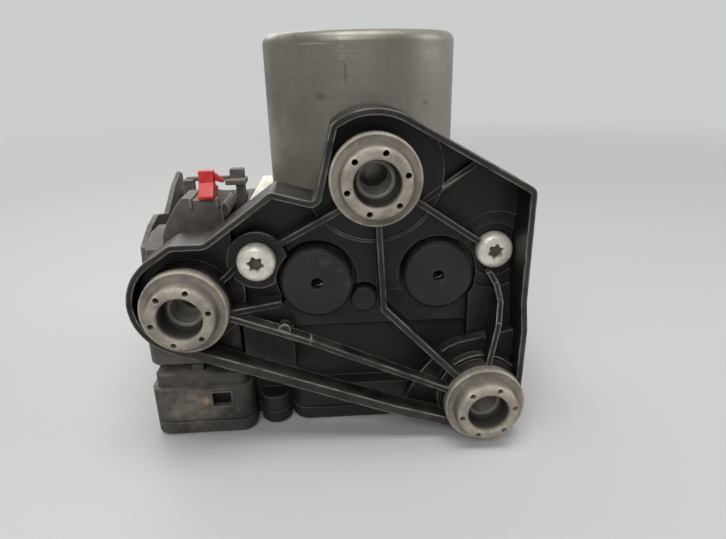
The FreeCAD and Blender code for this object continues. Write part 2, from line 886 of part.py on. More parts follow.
def eccentric_ring():
    foot = pump_z - eccentric_height / 2
    top = foot + eccentric_height
    outer = rod_z(0, eccentric_offset, eccentric_radius + ring_wall, foot, top)
    return outer.cut(rod_z(0, eccentric_offset, eccentric_radius + run_gap, foot - 1, top + 1))


def core_slots(wall):
    """Wedges of the winding slots, grown inwards by the wall on every side."""
    slots = []
    inner = core_radius - slot_depth + wall
    half = slot_width / 2 - wall
    top = core_foot + core_height + 1
    for i in range(slot_count):
        slot = block(inner, core_radius + 2, -half, half, core_foot - 1, top)
        slot.rotate(V(0, 0, 0), UP, 360 / slot_count * i)
        slots.append(slot)
    return slots


def rotor_core():
    core = rod_z(0, 0, core_radius, core_foot, core_foot + core_height)
    top = core_foot + core_height
    core = core.cut(rod_z(0, 0, shaft_radius + run_gap, core_foot - 1, top + 1))
    return core.cut(core_slots(0))


def rotor_winding():
    """Copper bars in the slots, tied by a turned ring at each end."""
    ring_height = 1.4
    outer = core_radius - 1.0
    inner = core_radius - slot_depth - 1.0
    foot = core_foot - ring_height
    top = core_foot + core_height
    bars = [s.common(rod_z(0, 0, outer, foot, top + ring_height)) for s in core_slots(seat_gap)]
    rings = []
    for z in (foot, top):
        ring = rod_z(0, 0, outer, z, z + ring_height)
        rings.append(ring.cut(rod_z(0, 0, inner, z - 1, z + ring_height + 1)))
    return join(rings[0], rings[1], *bars)


def commutator():
    foot = brush_foot() - 1.0
    body = rod_z(0, 0, commutator_radius, foot, foot + commutator_height)
    return body.cut(rod_z(0, 0, shaft_radius + run_gap, foot - 1, foot + commutator_height + 1))


def ball_bearing(outer, foot):
    body = rod_z(0, 0, outer, foot, foot + bearing_height)
    return body.cut(rod_z(0, 0, shaft_radius + run_gap, foot - 1, foot + bearing_height + 1))


def pump_piston(side):
    tip = eccentric_radius + ring_wall + eccentric_offset + free_gap
    low, high = sorted((side * tip, side * (tip + piston_length)))
    return rod_x(0, pump_z, piston_radius, low, high)


def pump_plug(side):
    face = block_right if side > 0 else -block_left
    low, high = sorted((side * pump_plug_face(), side * (face - 0.5)))
    body = rod_x(0, pump_z, pump_plug_radius, low, high)
    low, high = sorted((side * (face - 3.0), side * face))
    return body.cut(rod_x(0, pump_z, pump_plug_radius * 0.45, low, high))


def valve(x, y):
    """Valve cartridge pressed in the block, its dome reaching into a coil."""
    profile = [
        (0, block_bottom - dome_length),
        (dome_radius - 1.0, block_bottom - dome_length),
        (dome_radius, block_bottom - dome_length + 1.0),
        (dome_radius, block_bottom),
        (valve_radius, block_bottom),
        (valve_radius, block_bottom + valve_depth - 0.3),
        (0, block_bottom + valve_depth - 0.3),
    ]
    return turned_z(profile, x, y)


def valve_coil(x, y):
    """Coil body round the valve's dome, with two legs down to the board."""
    foot = block_bottom - coil_height
    body = rod_z(x, y, coil_radius, foot, block_bottom)
    body = body.cut(rod_z(x, y, dome_radius + seat_gap, foot - 1, block_bottom + 1))
    legs = []
    for side in (-1, 1):
        cx = x + side * (coil_radius - 2)
        half = coil_leg / 2
        legs.append(block(cx - half, cx + half, y - half, y + half, board_top, foot + 1))
    return join(body, *legs)


def unit_plan(z0, z1, inset):
    """Footprint of the control unit: connector lobe, main body and the set-back bridge."""
    front = lobe_front + inset
    back = lobe_back - inset
    lobe = slab(lobe_left + inset, lobe_right - inset, front, back, z0, z1, lobe_corner - inset)
    front = main_front + inset
    back = main_back - inset
    main = slab(main_left + inset, main_right - inset, front, back, z0, z1, main_corner - inset)
    bridge = block(unit_left + inset, main_left + 8, upper_front_face + inset, back, z0, z1)
    lug = rod_z(lug_x, lug_y, lug_radius - inset, z0, z1)
    return join(lobe, main, bridge, lug)


def control_unit_housing():
    seam_top = cover_height + seam_height
    shoulder = lobe_shoulder
    lobe = slab(lobe_left, lobe_right, lobe_front, lobe_back, seam_top, shoulder, lobe_corner)
    left = lobe_left + lobe_ledge
    right = lobe_right - lobe_ledge
    front = lobe_front + lobe_ledge
    back = lobe_back - lobe_ledge
    lobe_cap = slab(left, right, front, back, shoulder - 1, lobe_top, lobe_corner - lobe_ledge)
    flange = slab(main_left, main_right, main_front, main_back, seam_top, main_flange_top, main_corner)
    upper = slab(unit_left, main_right, upper_front_face, main_back, seam_top, unit_height, 2.0)
    tower_low = block(tower_left, tower_right, tower_front, upper_front_face + 1, tower_foot, unit_height)
    tower_high = block(tower_left, tower_right, tower_front, block_front - 0.4, unit_height - 1, tower_top)
    lug = rod_z(lug_x, lug_y, lug_radius, seam_top, lug_top)
    seam = unit_plan(cover_height, seam_top, seam_depth)
    half = key_width / 2
    front = lobe_front + 4
    key = block(key_x - half, key_x + half, front, front + 4, lobe_top - 1, skirt_foot)
    left = shroud_left()
    right = shroud_right()
    front = shroud_front()
    back = shroud_back()
    shroud_out = slab(left, right, front, back, lobe_top - 1, shroud_top, 2.5)
    body = join(lobe, lobe_cap, flange, upper, tower_low, tower_high, lug, seam, key, shroud_out)
    wall = unit_wall
    foot = cover_height - 1
    roof = unit_height - wall
    low_roof = lobe_shoulder - 1
    room_left = block_left + wall
    room_right = main_right - wall
    room_front = upper_front_face + wall
    lobe_back_room = lobe_back - wall
    behind_window = lobe_front + wall + window_depth
    room = block(room_left, room_right, room_front, main_back - wall, foot, roof)
    left = lobe_left + wall + 1
    lobe_room = block(left, lobe_right - wall, behind_window, lobe_back_room, foot, low_roof)
    passage = block(lobe_right - 9, block_left + 9, room_front, lobe_back_room, foot, low_roof)
    valve_front = valve_window_front
    valve_back = valve_window_back
    valve_room = block(room_left, room_right, valve_front, valve_back, roof - 1, unit_height + 1)
    body = body.cut([room, lobe_room, passage, valve_room])
    columns = [rod_z(x, y, column_radius, board_top, roof + 0.5) for x, y in unit_screw_places]
    body = body.fuse(columns)
    hole = screw_radius + seat_gap
    cuts = [rod_z(x, y, hole, board_top - 1, unit_height + 1) for x, y in unit_screw_places]
    half = window_width / 2
    low = window_z - window_height / 2
    top = low + window_height
    front = lobe_front - 1
    cuts.append(block(window_x - half, window_x + half, front, lobe_front + window_depth, low, top))
    inside = shroud_wall
    left = shroud_left() + inside
    right = shroud_right() - inside
    front = shroud_front() + inside
    back = shroud_back() - inside
    cuts.append(slab(left, right, front, back, lobe_top, shroud_top + 1, 1.5))
    for x, y in pin_places():
        grow = pin_side / 2 + 0.02
        cuts.append(block(x - grow, x + grow, y - grow, y + grow, lobe_shoulder - 3, lobe_top + 1))
    return body.cut(cuts).removeSplitter()


def shroud_left():
    return skirt_left + skirt_wall + shroud_gap


def shroud_right():
    return skirt_right - skirt_wall - shroud_gap


def shroud_front():
    return skirt_front + skirt_wall + shroud_gap


def shroud_back():
    return lobe_back - lobe_ledge - skirt_wall - shroud_gap


def pin_places():
    middle_x = (shroud_left() + shroud_right()) / 2
    middle_y = (shroud_front() + shroud_back()) / 2
    places = []
    for row in (-1, 1):
        for i in range(pin_columns):
            y = middle_y + (i - (pin_columns - 1) / 2) * pin_pitch
            places.append((middle_x + row * pin_row / 2, y))
    return places


def header_pins():
    half = pin_side / 2
    pins = []
    for x, y in pin_places():
        pins.append(block(x - half, x + half, y - half, y + half, board_under + 6, shroud_top - 3))
    return Part.makeCompound(pins)


def control_unit_cover():
    """Shallow pan closing the underside; its flat bottom is what the unit rests on."""
    body = unit_plan(0, cover_height, 0)
    foot = [e for e in body.Edges if e.BoundBox.ZMax < 0.01]
    body = body.makeChamfer(1.2, foot)
    pan = unit_plan(cover_wall, cover_height + 1, unit_wall)
    return body.cut(pan)


def circuit_board():
    wall = unit_wall + 0.4
    left = block_left + wall
    front = upper_front_face + wall
    body = block(left, main_right - wall, front, main_back - wall, board_under, board_top)
    hole = screw_radius + seat_gap
    holes = [rod_z(x, y, hole, board_under - 1, board_top + 1) for x, y in unit_screw_places]
    return body.cut(holes)


def control_unit_screws():
    screws = []
    for x, y in unit_screw_places:
        head = rod_z(x, y, screw_head_radius, board_under - screw_head_height, board_under)
        shank = rod_z(x, y, screw_radius, board_under - 0.5, unit_screw_top)
        screws.append(join(head, shank))
    return Part.makeCompound(screws)


def plug_housing():
    """Plug body: skirt over the header, narrower upper body and two pivot pins."""
    skirt = slab(skirt_left, skirt_right, skirt_front, skirt_back, skirt_foot, skirt_top, skirt_corner)
    foot_edges = [e for e in skirt.Edges if e.BoundBox.ZMax < skirt_foot + 0.01]
    skirt = skirt.makeChamfer(1.0, foot_edges)
    upper = slab(upper_left, upper_right, upper_front, upper_back, skirt_top - 1, upper_top, 3.0)
    foot = upper_top - 1
    low = upper_top + 4.0
    high = upper_top + 7.5
    outline = [(upper_front, foot), (upper_front, low), (-22.0, high), (-12.0, high)]
    outline = outline + [(-12.0, low), (8.0, low), (8.0, foot)]
    cheek = side_plate(outline, upper_left, hood_left - 0.2)
    pin = pivot_radius - run_gap
    left_pin = rod_x(pivot_y, pivot_z, pin, arm_left, upper_left + 1)
    right_pin = rod_x(pivot_y, pivot_z, pin, upper_right - 1, arm_right)
    body = join(skirt, upper, cheek, left_pin, right_pin)
    wall = skirt_wall
    left = skirt_left + wall
    right = skirt_right - wall
    front = skirt_front + wall
    hollow = slab(left, right, front, skirt_back - wall, skirt_foot - 1, shroud_top + 1, 2.0)
    slot = block(upper_left - 1, upper_left + 1.6, -24.0, -17.0, upper_top - 1, low + 0.5)
    return body.cut([hollow, slot]).removeSplitter()


def hood_profile(inset):
    """Arched section of the hood, from its left foot over the shoulder to its right foot."""
    left = hood_left + inset
    right = hood_right - inset
    top = hood_top - inset
    r = hood_shoulder
    run = hood_shoulder_run
    low = upper_top - (1 if inset else 0)
    y = hood_front
    points = [
        V(left, y, low),
        V(left, y, top - r),
        V(left + run * 0.47, y, top - r * 0.43),
        V(left + run, y, top),
        V(right - 3.0, y, top),
        V(right, y, top - 3.0),
        V(right, y, low),
    ]
    edges = [
        Part.LineSegment(points[0], points[1]).toShape(),
        Part.Arc(points[1], points[2], points[3]).toShape(),
        Part.LineSegment(points[3], points[4]).toShape(),
        Part.LineSegment(points[4], points[5]).toShape(),
        Part.LineSegment(points[5], points[6]).toShape(),
        Part.LineSegment(points[6], points[0]).toShape(),
    ]
    return Part.Face(Part.Wire(edges))


def plug_cover():
    """Wire hood over the plug: arched shell, open at the back where the harness left it."""
    length = hood_back - hood_front
    outer = hood_profile(0).extrude(V(0, length, 0))
    inner = hood_profile(hood_wall).extrude(V(0, length, 0))
    inner.translate(V(0, hood_wall, 0))
    outer = outer.cut(hood_fall(0))
    inner = inner.cut(hood_fall(hood_wall))
    side = hood_right - hood_wall
    ridge = rod_y(hood_right - 0.6, hood_top - 5.2, rib_radius, hood_front + 3, -9.0)
    pillar = rod_z(hood_right - 1.0, -10.0, rib_radius, upper_top, hood_top - 4.0)
    post = block(hood_right + 0.3, hood_right + 3.5, -1.0, 3.0, 70.6, 81.0)
    shelf = block(side - 1.3, hood_right + 4.3, -2.5, 4.5, 80.8, 82.8)
    tab = block(side + 0.4, hood_right + 3.6, -0.5, 3.0, 82.0, 86.5)
    left_leg = block(hood_left + 1.9, hood_left + 5.8, -1.0, 2.5, 74.0, 83.0)
    bar = block(hood_left + 3.0, side + 1.0, 0, 2.0, 82.2, 83.8)
    hip = block(side, hood_right + 3.5, -1.0, 3.0, 70.6, 74.6)
    guide_foot = latch_foot - 2.8
    guides = []
    for x in (latch_left - latch_room - 1.0, latch_right + latch_room - 1.6):
        guides.append(block(x, x + 0.9, hood_front - 0.9, hood_front + 1, guide_foot, hood_top))
    body = join(outer, ridge, pillar, post, shelf, tab, left_leg, bar, hip, *guides)
    pocket_left = latch_left - latch_room
    pocket_right = latch_right + latch_room - 1.6
    pocket_foot = latch_foot - free_gap
    pocket = block(pocket_left, pocket_right, hood_front - 2, hood_front + 9, pocket_foot, hood_top + 1)
    window = block(side - 0.6, hood_right + 0.1, -5.5, 7.0, 74.8, 79.0)
    return body.cut([inner, pocket, window]).removeSplitter()


def hood_fall(inset):
    """Wedge above the hood's top, which falls away behind its front arch."""
    top = hood_top - inset
    tail = hood_tail - inset
    outline = [
        (hood_slope_start, top),
        (hood_back + 9, tail - (top - tail) * 9 / (hood_back - hood_slope_start)),
        (hood_back + 9, top + 1),
        (hood_slope_start, top + 1),
    ]
    return side_plate(outline, hood_left - 1, hood_right + 1)


def plug_latch():
    """Red safety latch: ramped lip at the hood's front edge and an upright tab."""
    profile = [
        (hood_front - 1.5, latch_foot),
        (hood_front - 1.5, latch_foot + 1.2),
        (hood_front + 1.8, latch_foot + 4.8),
        (hood_front + 2.4, latch_top),
        (hood_front + 5.0, latch_top),
        (hood_front + 5.0, latch_foot + 3.0),
        (hood_front + 8.4, latch_foot + 3.0),
        (hood_front + 8.4, latch_foot),
    ]
    body = side_plate(profile, latch_left, latch_right)
    right = latch_right
    claw = [
        (right - 1.0, latch_top - 0.6),
        (right + 0.6, latch_top - 1.2),
        (right + 3.1, latch_top - 3.4),
        (right + 2.8, latch_top - 4.4),
        (right + 0.8, latch_top - 3.8),
        (right - 1.0, latch_top - 3.2),
    ]
    arm = upright_plate(claw, hood_front + 3.2, hood_front + 5.0)
    return join(body, arm)


def plug_lever():
    """Lever: a shaped left arm, a slim right arm and the bail that ties them."""
    a = math.radians(bail_angle)
    bail_y = pivot_y + bail_reach * math.cos(a)
    bail_z = pivot_z + bail_reach * math.sin(a)
    left_outline = [
        (pivot_y - 6.0, pivot_z - 7.0),
        (pivot_y - 9.0, pivot_z - 2.0),
        (pivot_y - 24.0, pivot_z + 6.0),
        (pivot_y - 23.0, pivot_z + 12.0),
        (pivot_y - 13.5, pivot_z + 16.5),
        (pivot_y - 5.0, pivot_z + lever_dip_rise + 2.8),
        (pivot_y + 7.5, pivot_z + lever_dip_rise),
        (pivot_y + 13.0, pivot_z + lever_dip_rise + 3.0),
        (pivot_y + 21.5, pivot_z + lever_tip_rise - 3.5),
        (bail_y - 0.6, pivot_z + lever_tip_rise),
        (bail_y + 1.4, pivot_z + lever_tip_rise - 1.5),
        (bail_y + 1.6, bail_z - 1.6),
        (bail_y - 1.0, bail_z - 2.6),
        (pivot_y + 6.0, pivot_z - 7.0),
    ]
    right_outline = [
        (pivot_y - 6.0, pivot_z - 6.0),
        (pivot_y - 6.0, pivot_z + 6.0),
        (bail_y - 3.0, bail_z + 2.2),
        (bail_y + 1.5, bail_z + 2.2),
        (bail_y + 1.5, bail_z - 2.3),
        (pivot_y + 6.0, pivot_z - 7.0),
    ]
    left = side_plate(left_outline, arm_left, arm_left + arm_wall)
    right = side_plate(right_outline, arm_right - arm_wall, arm_right)
    bail = rod_x(bail_y, bail_z, bail_radius, arm_left + 0.5, arm_right - 0.5)
    body = join(left, right, bail)
    return body.cut(rod_x(pivot_y, pivot_z, pivot_radius, arm_left - 1, arm_right + 1))


def plug_seal():
    """Rubber ring round the header's shroud, inside the plug's skirt."""
    foot = skirt_foot + 2.5
    left = shroud_left()
    right = shroud_right()
    front = shroud_front()
    back = shroud_back()
    grow = 1.7
    outer = slab(left - grow, right + grow, front - grow, back + grow, foot, foot + 5, 3.0)
    grow = run_gap
    inner = slab(left - grow, right + grow, front - grow, back + grow, foot - 1, foot + 6, 2.5)
    return outer.cut(inner)


def main():
    os.makedirs("parts", exist_ok=True)
    export("mounting_bracket", mounting_bracket())
    for name, (x, z, turn) in bush_places.items():
        export(name + "_bush", bush(x, z, turn))
        export(name + "_bush_sleeve", bush_sleeve(x, z))
    left = bracket_bolt(left_bolt[0], left_bolt[1], left_seat)
    right = bracket_bolt(right_bolt[0], right_bolt[1], right_seat)
    export("bracket_bolts", Part.makeCompound([left, right]))
    export("hydraulic_block", hydraulic_block())
    stores = {"left": (left_store_x, left_cap_reach), "right": (right_store_x, right_cap_reach)}
    for name, (x, reach) in stores.items():
        export(name + "_accumulator_cap", accumulator_cap(x, reach))
        export(name + "_accumulator_spring", accumulator_spring(x, reach))
        export(name + "_accumulator_piston", accumulator_piston(x))
    export("pressure_plug", pressure_stub())
    export("motor_can", motor_can())
    export("motor_screws", motor_screws())
    export("motor_end_plate", motor_end_plate())
    for name, side in (("left", -1), ("right", 1)):
        export(name + "_magnet", motor_magnet(side))
        export(name + "_pump_piston", pump_piston(side))
        export(name + "_pump_plug", pump_plug(side))
    for name, side in (("front", -1), ("rear", 1)):
        export(name + "_brush", motor_brush(side))
    export("rotor_shaft", rotor_shaft())
    export("eccentric_ring", eccentric_ring())
    export("rotor_core", rotor_core())
    export("rotor_winding", rotor_winding())
    export("commutator", commutator())
    export("upper_bearing", ball_bearing(bearing_radius, motor_top - motor_wall - bearing_height))
    export("lower_bearing", ball_bearing(lower_bearing_radius, shaft_foot - 0.4))
    coils = []
    for row, y in zip(("inlet", "outlet"), valve_rows):
        for number, x in enumerate(valve_columns, 1):
            export(row + "_valve_" + str(number), valve(x, y))
            coils.append(valve_coil(x, y))
    export("valve_coils", Part.makeCompound(coils))
    export("control_unit_housing", control_unit_housing())
    export("control_unit_cover", control_unit_cover())
    export("circuit_board", circuit_board())
    export("control_unit_screws", control_unit_screws())
    export("header_pins", header_pins())
    export("plug_housing", plug_housing())
    export("plug_cover", plug_cover())
    export("plug_latch", plug_latch())
    export("plug_lever", plug_lever())
    export("plug_seal", plug_seal())


main()
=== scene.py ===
import json
import math

import bmesh
import bpy
from mathutils import Matrix, Vector
from mathutils.bvhtree import BVHTree


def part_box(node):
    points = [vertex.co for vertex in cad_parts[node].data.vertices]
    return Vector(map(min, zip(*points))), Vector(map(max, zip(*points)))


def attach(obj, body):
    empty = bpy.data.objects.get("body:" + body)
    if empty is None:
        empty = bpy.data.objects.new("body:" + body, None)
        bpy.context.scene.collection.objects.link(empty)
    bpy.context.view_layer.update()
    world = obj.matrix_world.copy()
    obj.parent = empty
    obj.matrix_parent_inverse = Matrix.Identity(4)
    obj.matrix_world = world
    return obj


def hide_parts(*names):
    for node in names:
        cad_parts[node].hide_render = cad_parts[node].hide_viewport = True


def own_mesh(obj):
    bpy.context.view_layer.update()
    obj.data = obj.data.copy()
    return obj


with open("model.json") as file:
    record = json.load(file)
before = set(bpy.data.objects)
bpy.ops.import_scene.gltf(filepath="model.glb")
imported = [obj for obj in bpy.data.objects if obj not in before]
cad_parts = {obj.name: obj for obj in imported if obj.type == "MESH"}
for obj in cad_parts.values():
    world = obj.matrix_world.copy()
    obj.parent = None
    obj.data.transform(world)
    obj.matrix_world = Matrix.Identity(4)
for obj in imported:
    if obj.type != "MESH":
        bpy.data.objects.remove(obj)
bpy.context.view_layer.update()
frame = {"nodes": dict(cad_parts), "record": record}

mm = 0.001
print("frame loaded:", len(frame["nodes"]), "nodes")


# Camera and studio

view = {
    "place": (-0.0108, -0.2066, 0.1235),
    "right": (0.99800, -0.06004, -0.01972),
    "down": (-0.03986, -0.35588, -0.93368),
    "ahead": (0.04904, 0.93260, -0.35756),
    "focalPixels": 548.0,
    "frameWidth": 726.0,
    "sensor": 36.0,
}

studio = {
    "floorSize": 6.0,
    "floorColour": (0.50, 0.50, 0.49, 1.0),
    "backColour": (0.60, 0.61, 0.61, 1.0),
    "fadeFrom": 0.25,
    "fadeTo": 1.1,
    "ambient": 0.36,
    "frontRoom": 0.10,
    "roomRange": (-0.8, 0.35),
    "aim": (0.0, 0.0, 0.06),
}

# name: (place, (width, depth), watts)
lamps = {
    "overheadLamp": ((0.0, -0.16, 1.05), (0.8, 0.45), 8.0),
    "frontFill": ((-0.25, -1.00, 0.80), (0.9, 0.6), 7.5),
    "rightFill": ((1.0, 0.0, 0.5), (0.5, 0.6), 2.4),
    "backStrip": ((-0.4, 0.95, 0.6), (0.8, 0.3), 3.0),
}


def placeCamera():
    lens = bpy.data.cameras.new("camera")
    lens.sensor_width = view["sensor"]
    lens.lens = view["focalPixels"] / view["frameWidth"] * view["sensor"]
    lens.clip_start = 0.01
    rig = bpy.data.objects.new("camera", lens)
    bpy.context.scene.collection.objects.link(rig)
    right, down, ahead = (Vector(view[key]) for key in ("right", "down", "ahead"))
    turn = Matrix((right, -down, -ahead)).transposed().to_4x4()
    rig.matrix_world = Matrix.Translation(view["place"]) @ turn
    bpy.context.scene.camera = rig


def addNode(tree, kind, inputs=None, **settings):
    # One node, with its settings and its inputs; an input may be a value or another node's output
    made = tree.nodes.new(kind)
    for key, value in settings.items():
        setattr(made, key, value)
    for key, value in (inputs or {}).items():
        if isinstance(value, bpy.types.NodeSocket):
            tree.links.new(value, made.inputs[key])
        else:
            made.inputs[key].default_value = value
    return made


def sums(tree, operation, first, second=0.0, clamp=False):
    made = addNode(tree, "ShaderNodeMath", {0: first, 1: second}, operation=operation, use_clamp=clamp)
    return made.outputs[0]


def product(tree, *values):
    whole = values[0]
    for value in values[1:]:
        whole = sums(tree, "MULTIPLY", whole, value)
    return whole


def vectors(tree, operation, first, second=(0.0, 0.0, 0.0)):
    # Vector math; a length comes out as a number
    made = addNode(tree, "ShaderNodeVectorMath", {0: first, 1: second}, operation=operation)
    return made.outputs["Value" if operation == "LENGTH" else 0]


def axisOf(tree, vector, axis):
    return addNode(tree, "ShaderNodeSeparateXYZ", {0: vector}).outputs[axis]


def objectCoords(tree):
    return addNode(tree, "ShaderNodeTexCoord").outputs["Object"]


def rangeOf(tree, value, low, high, toLow=0.0, toHigh=1.0):
    return addNode(tree, "ShaderNodeMapRange", {
        "Value": value, "From Min": low, "From Max": high, "To Min": toLow, "To Max": toHigh,
    }, interpolation_type="SMOOTHSTEP").outputs[0]


def rangeAlong(tree, coords, axis, places, toLow=0.0, toHigh=1.0):
    # The same between two places along an axis, in mm
    first, second = (place * mm for place in places)
    return rangeOf(tree, axisOf(tree, coords, axis), first, second, toLow, toHigh)


def blendColour(tree, mask, under, over):
    return addNode(tree, "ShaderNodeMix", {0: mask, 6: under, 7: over}, data_type="RGBA").outputs[2]


def noiseOf(tree, coords, scale, detail=3.0, rough=0.55, distort=0.0):
    return addNode(tree, "ShaderNodeTexNoise", {
        "Vector": coords, "Scale": scale, "Detail": detail, "Roughness": rough, "Distortion": distort,
    }).outputs[0]


def patchesOf(tree, coords, noise, reach, result=(0.0, 1.0)):
    # Noise of a scale, detail and roughness, of which one range is drawn out over the result's
    return rangeOf(tree, noiseOf(tree, coords, *noise), *reach, *result)


def spread(tree, mask, ends):
    # A value that goes from the first end to the second with the mask
    return rangeOf(tree, mask, 0.0, 1.0, *ends)


def buildStudio():
    world = bpy.data.worlds.new("studioWorld")
    bpy.context.scene.world = world
    world.use_nodes = True
    tree = world.node_tree
    tree.nodes.clear()
    rays = addNode(tree, "ShaderNodeLightPath")
    seen = sums(tree, "MAXIMUM", rays.outputs["Is Camera Ray"], rays.outputs["Is Glossy Ray"])
    seen = sums(tree, "MAXIMUM", seen, rays.outputs["Is Transmission Ray"])
    # The room in front of the object is dim, so mirror rays that look there see little
    facing = axisOf(tree, addNode(tree, "ShaderNodeTexCoord").outputs["Generated"], "Y")
    room = rangeOf(tree, facing, *studio["roomRange"], studio["frontRoom"], 1.0)
    room = sums(tree, "MAXIMUM", room, sums(tree, "SUBTRACT", 1.0, rays.outputs["Is Glossy Ray"]))
    strength = product(tree, spread(tree, seen, (studio["ambient"], 1.0)), room)
    back = addNode(tree, "ShaderNodeBackground", {"Color": studio["backColour"], "Strength": strength})
    addNode(tree, "ShaderNodeOutputWorld", {"Surface": back.outputs[0]})

    half = studio["floorSize"] / 2
    mesh = bpy.data.meshes.new("floor")
    corners = [(-half, -half, 0), (half, -half, 0), (half, half, 0), (-half, half, 0)]
    mesh.from_pydata(corners, [], [(0, 1, 2, 3)])
    floor = bpy.data.objects.new("floor", mesh)
    bpy.context.scene.collection.objects.link(floor)
    mesh.materials.append(floorFinish())

    for name, (place, size, watts) in lamps.items():
        light = bpy.data.lights.new(name, "AREA")
        light.shape = "RECTANGLE"
        light.size, light.size_y = size
        light.energy = watts
        lamp = bpy.data.objects.new(name, light)
        lamp.location = place
        aim = Vector(studio["aim"]) - Vector(place)
        lamp.rotation_euler = aim.to_track_quat("-Z", "Y").to_euler()
        bpy.context.scene.collection.objects.link(lamp)
    bpy.context.scene.view_settings.view_transform = "Standard"


def newMaterial(name):
    made = bpy.data.materials.new(name)
    made.use_nodes = True
    made.node_tree.nodes.clear()
    return made, made.node_tree


def floorFinish():
    made, tree = newMaterial("paleFloor")
    away = vectors(tree, "LENGTH", objectCoords(tree))
    rays = addNode(tree, "ShaderNodeLightPath")
    seen = sums(tree, "MAXIMUM", rays.outputs["Is Camera Ray"], rays.outputs["Is Glossy Ray"])
    fade = rangeOf(tree, away, studio["fadeFrom"], studio["fadeTo"])
    lit = addNode(tree, "ShaderNodeBsdfPrincipled", {"Base Color": studio["floorColour"], "Roughness": 0.55})
    far = addNode(tree, "ShaderNodeEmission", {"Color": studio["backColour"], "Strength": 1.0})
    share = product(tree, fade, seen)
    both = addNode(tree, "ShaderNodeMixShader", {0: share, 1: lit.outputs[0], 2: far.outputs[0]})
    addNode(tree, "ShaderNodeOutputMaterial", {"Surface": both.outputs[0]})
    return made


placeCamera()
buildStudio()
print("camera, lamps and floor placed")


# Shader groups that several finishes share

def startGroup(name, inputs, result):
    # A group with number and vector inputs and one result
    group = bpy.data.node_groups.new(name, "ShaderNodeTree")
    for label, value in inputs.items():
        kind = "NodeSocketVector" if isinstance(value, tuple) else "NodeSocketFloat"
        socket = group.interface.new_socket(name=label, in_out="INPUT", socket_type=kind)
        socket.default_value = value
    group.interface.new_socket(name=result, in_out="OUTPUT", socket_type="NodeSocketFloat")
    return group, group.nodes.new("NodeGroupInput").outputs


def endGroup(group, value):
    addNode(group, "NodeGroupOutput", {0: value})
    return group


def settledDustGroup():
    # Dust lies on faces that look up, in patches, with a thin film elsewhere
    group, given = startGroup("settledDust", {"Amount": 0.5, "Patch Scale": 60.0, "Film": 0.1}, "Mask")
    place = addNode(group, "ShaderNodeTexCoord")
    coords = place.outputs["Object"]
    upward = rangeOf(group, axisOf(group, place.outputs["Normal"], "Z"), 0.45, 0.98)
    patches = patchesOf(group, coords, (given["Patch Scale"], 5.0, 0.65), (0.35, 0.68))
    fine = patchesOf(group, coords, (900.0, 2.0, 0.7), (0.3, 0.7), (0.55, 1.0))
    lying = product(group, upward, patches, given["Amount"])
    film = product(group, patches, given["Film"])
    return endGroup(group, sums(group, "MULTIPLY", sums(group, "ADD", lying, film), fine, clamp=True))


def edgeWearAndHighlightGroup():
    # Edge wear with painted highlight lies where the solid is thin under the surface, as at its outer edges,
    # and comes in bits; the highlight is painted strongest on faces that look up
    group, given = startGroup("rubbedEdges", {"Amount": 0.5, "Break Up": 120.0}, "Mask")
    place = addNode(group, "ShaderNodeTexCoord")
    edge = addNode(group, "ShaderNodeAttribute", attribute_name="edge").outputs["Fac"]
    under = addNode(group, "ShaderNodeAmbientOcclusion", {"Distance": 0.7 * mm}, inside=True, only_local=True,
                    samples=6)
    edge = sums(group, "MAXIMUM", edge, rangeOf(group, under.outputs["AO"], 0.50, 0.90, 1.0, 0.0))
    noise = (given["Break Up"], 4.0, 0.6)
    bits = patchesOf(group, place.outputs["Object"], noise, (0.32, 0.62), (0.15, 1.0))
    upward = rangeOf(group, axisOf(group, place.outputs["Normal"], "Z"), -0.5, 0.5, 0.35, 1.0)
    rubbed = product(group, edge, bits, upward)
    return endGroup(group, sums(group, "MULTIPLY", rubbed, given["Amount"], clamp=True))


def hairScratchesGroup():
    # Long thin lines: contours of a noise that is stretched along one direction
    group, given = startGroup("hairScratches", {
        "Turn": (0.0, 0.0, 0.0), "Along": 25.0, "Across": 700.0, "Width": 0.012, "Amount": 0.5,
    }, "Mask")
    coords = objectCoords(group)
    turned = addNode(group, "ShaderNodeVectorRotate", {"Vector": coords, "Rotation": given["Turn"]},
                     rotation_type="EULER_XYZ")
    stretch = addNode(group, "ShaderNodeCombineXYZ", {
        0: given["Along"], 1: given["Across"], 2: given["Across"],
    })
    drawn = vectors(group, "MULTIPLY", turned.outputs[0], stretch.outputs[0])
    field = noiseOf(group, drawn, 1.0, 1.0, 0.4)
    away = sums(group, "ABSOLUTE", sums(group, "SUBTRACT", field, 0.5))
    line = sums(group, "SUBTRACT", 1.0, sums(group, "DIVIDE", away, given["Width"], clamp=True))
    gaps = patchesOf(group, coords, (45.0, 2.0), (0.5, 0.64))
    return endGroup(group, sums(group, "MULTIPLY", product(group, line, gaps), given["Amount"], clamp=True))


def softSpotGroup():
    # One mark at a place, with its own reach along each axis and a ragged edge
    group, given = startGroup("softSpot", {
        "Centre": (0.0, 0.0, 0.0), "Reach": (0.005, 0.005, 0.005),
        "Softness": 0.4, "Ragged": 0.25, "Amount": 1.0,
    }, "Mask")
    coords = objectCoords(group)
    offset = vectors(group, "SUBTRACT", coords, given["Centre"])
    away = vectors(group, "LENGTH", vectors(group, "DIVIDE", offset, given["Reach"]))
    wobble = sums(group, "SUBTRACT", noiseOf(group, coords, 400.0, 3.0, 0.6), 0.5)
    away = sums(group, "ADD", away, product(group, wobble, given["Ragged"]))
    near = sums(group, "DIVIDE", sums(group, "SUBTRACT", 1.0, away), given["Softness"], clamp=True)
    return endGroup(group, product(group, near, given["Amount"]))


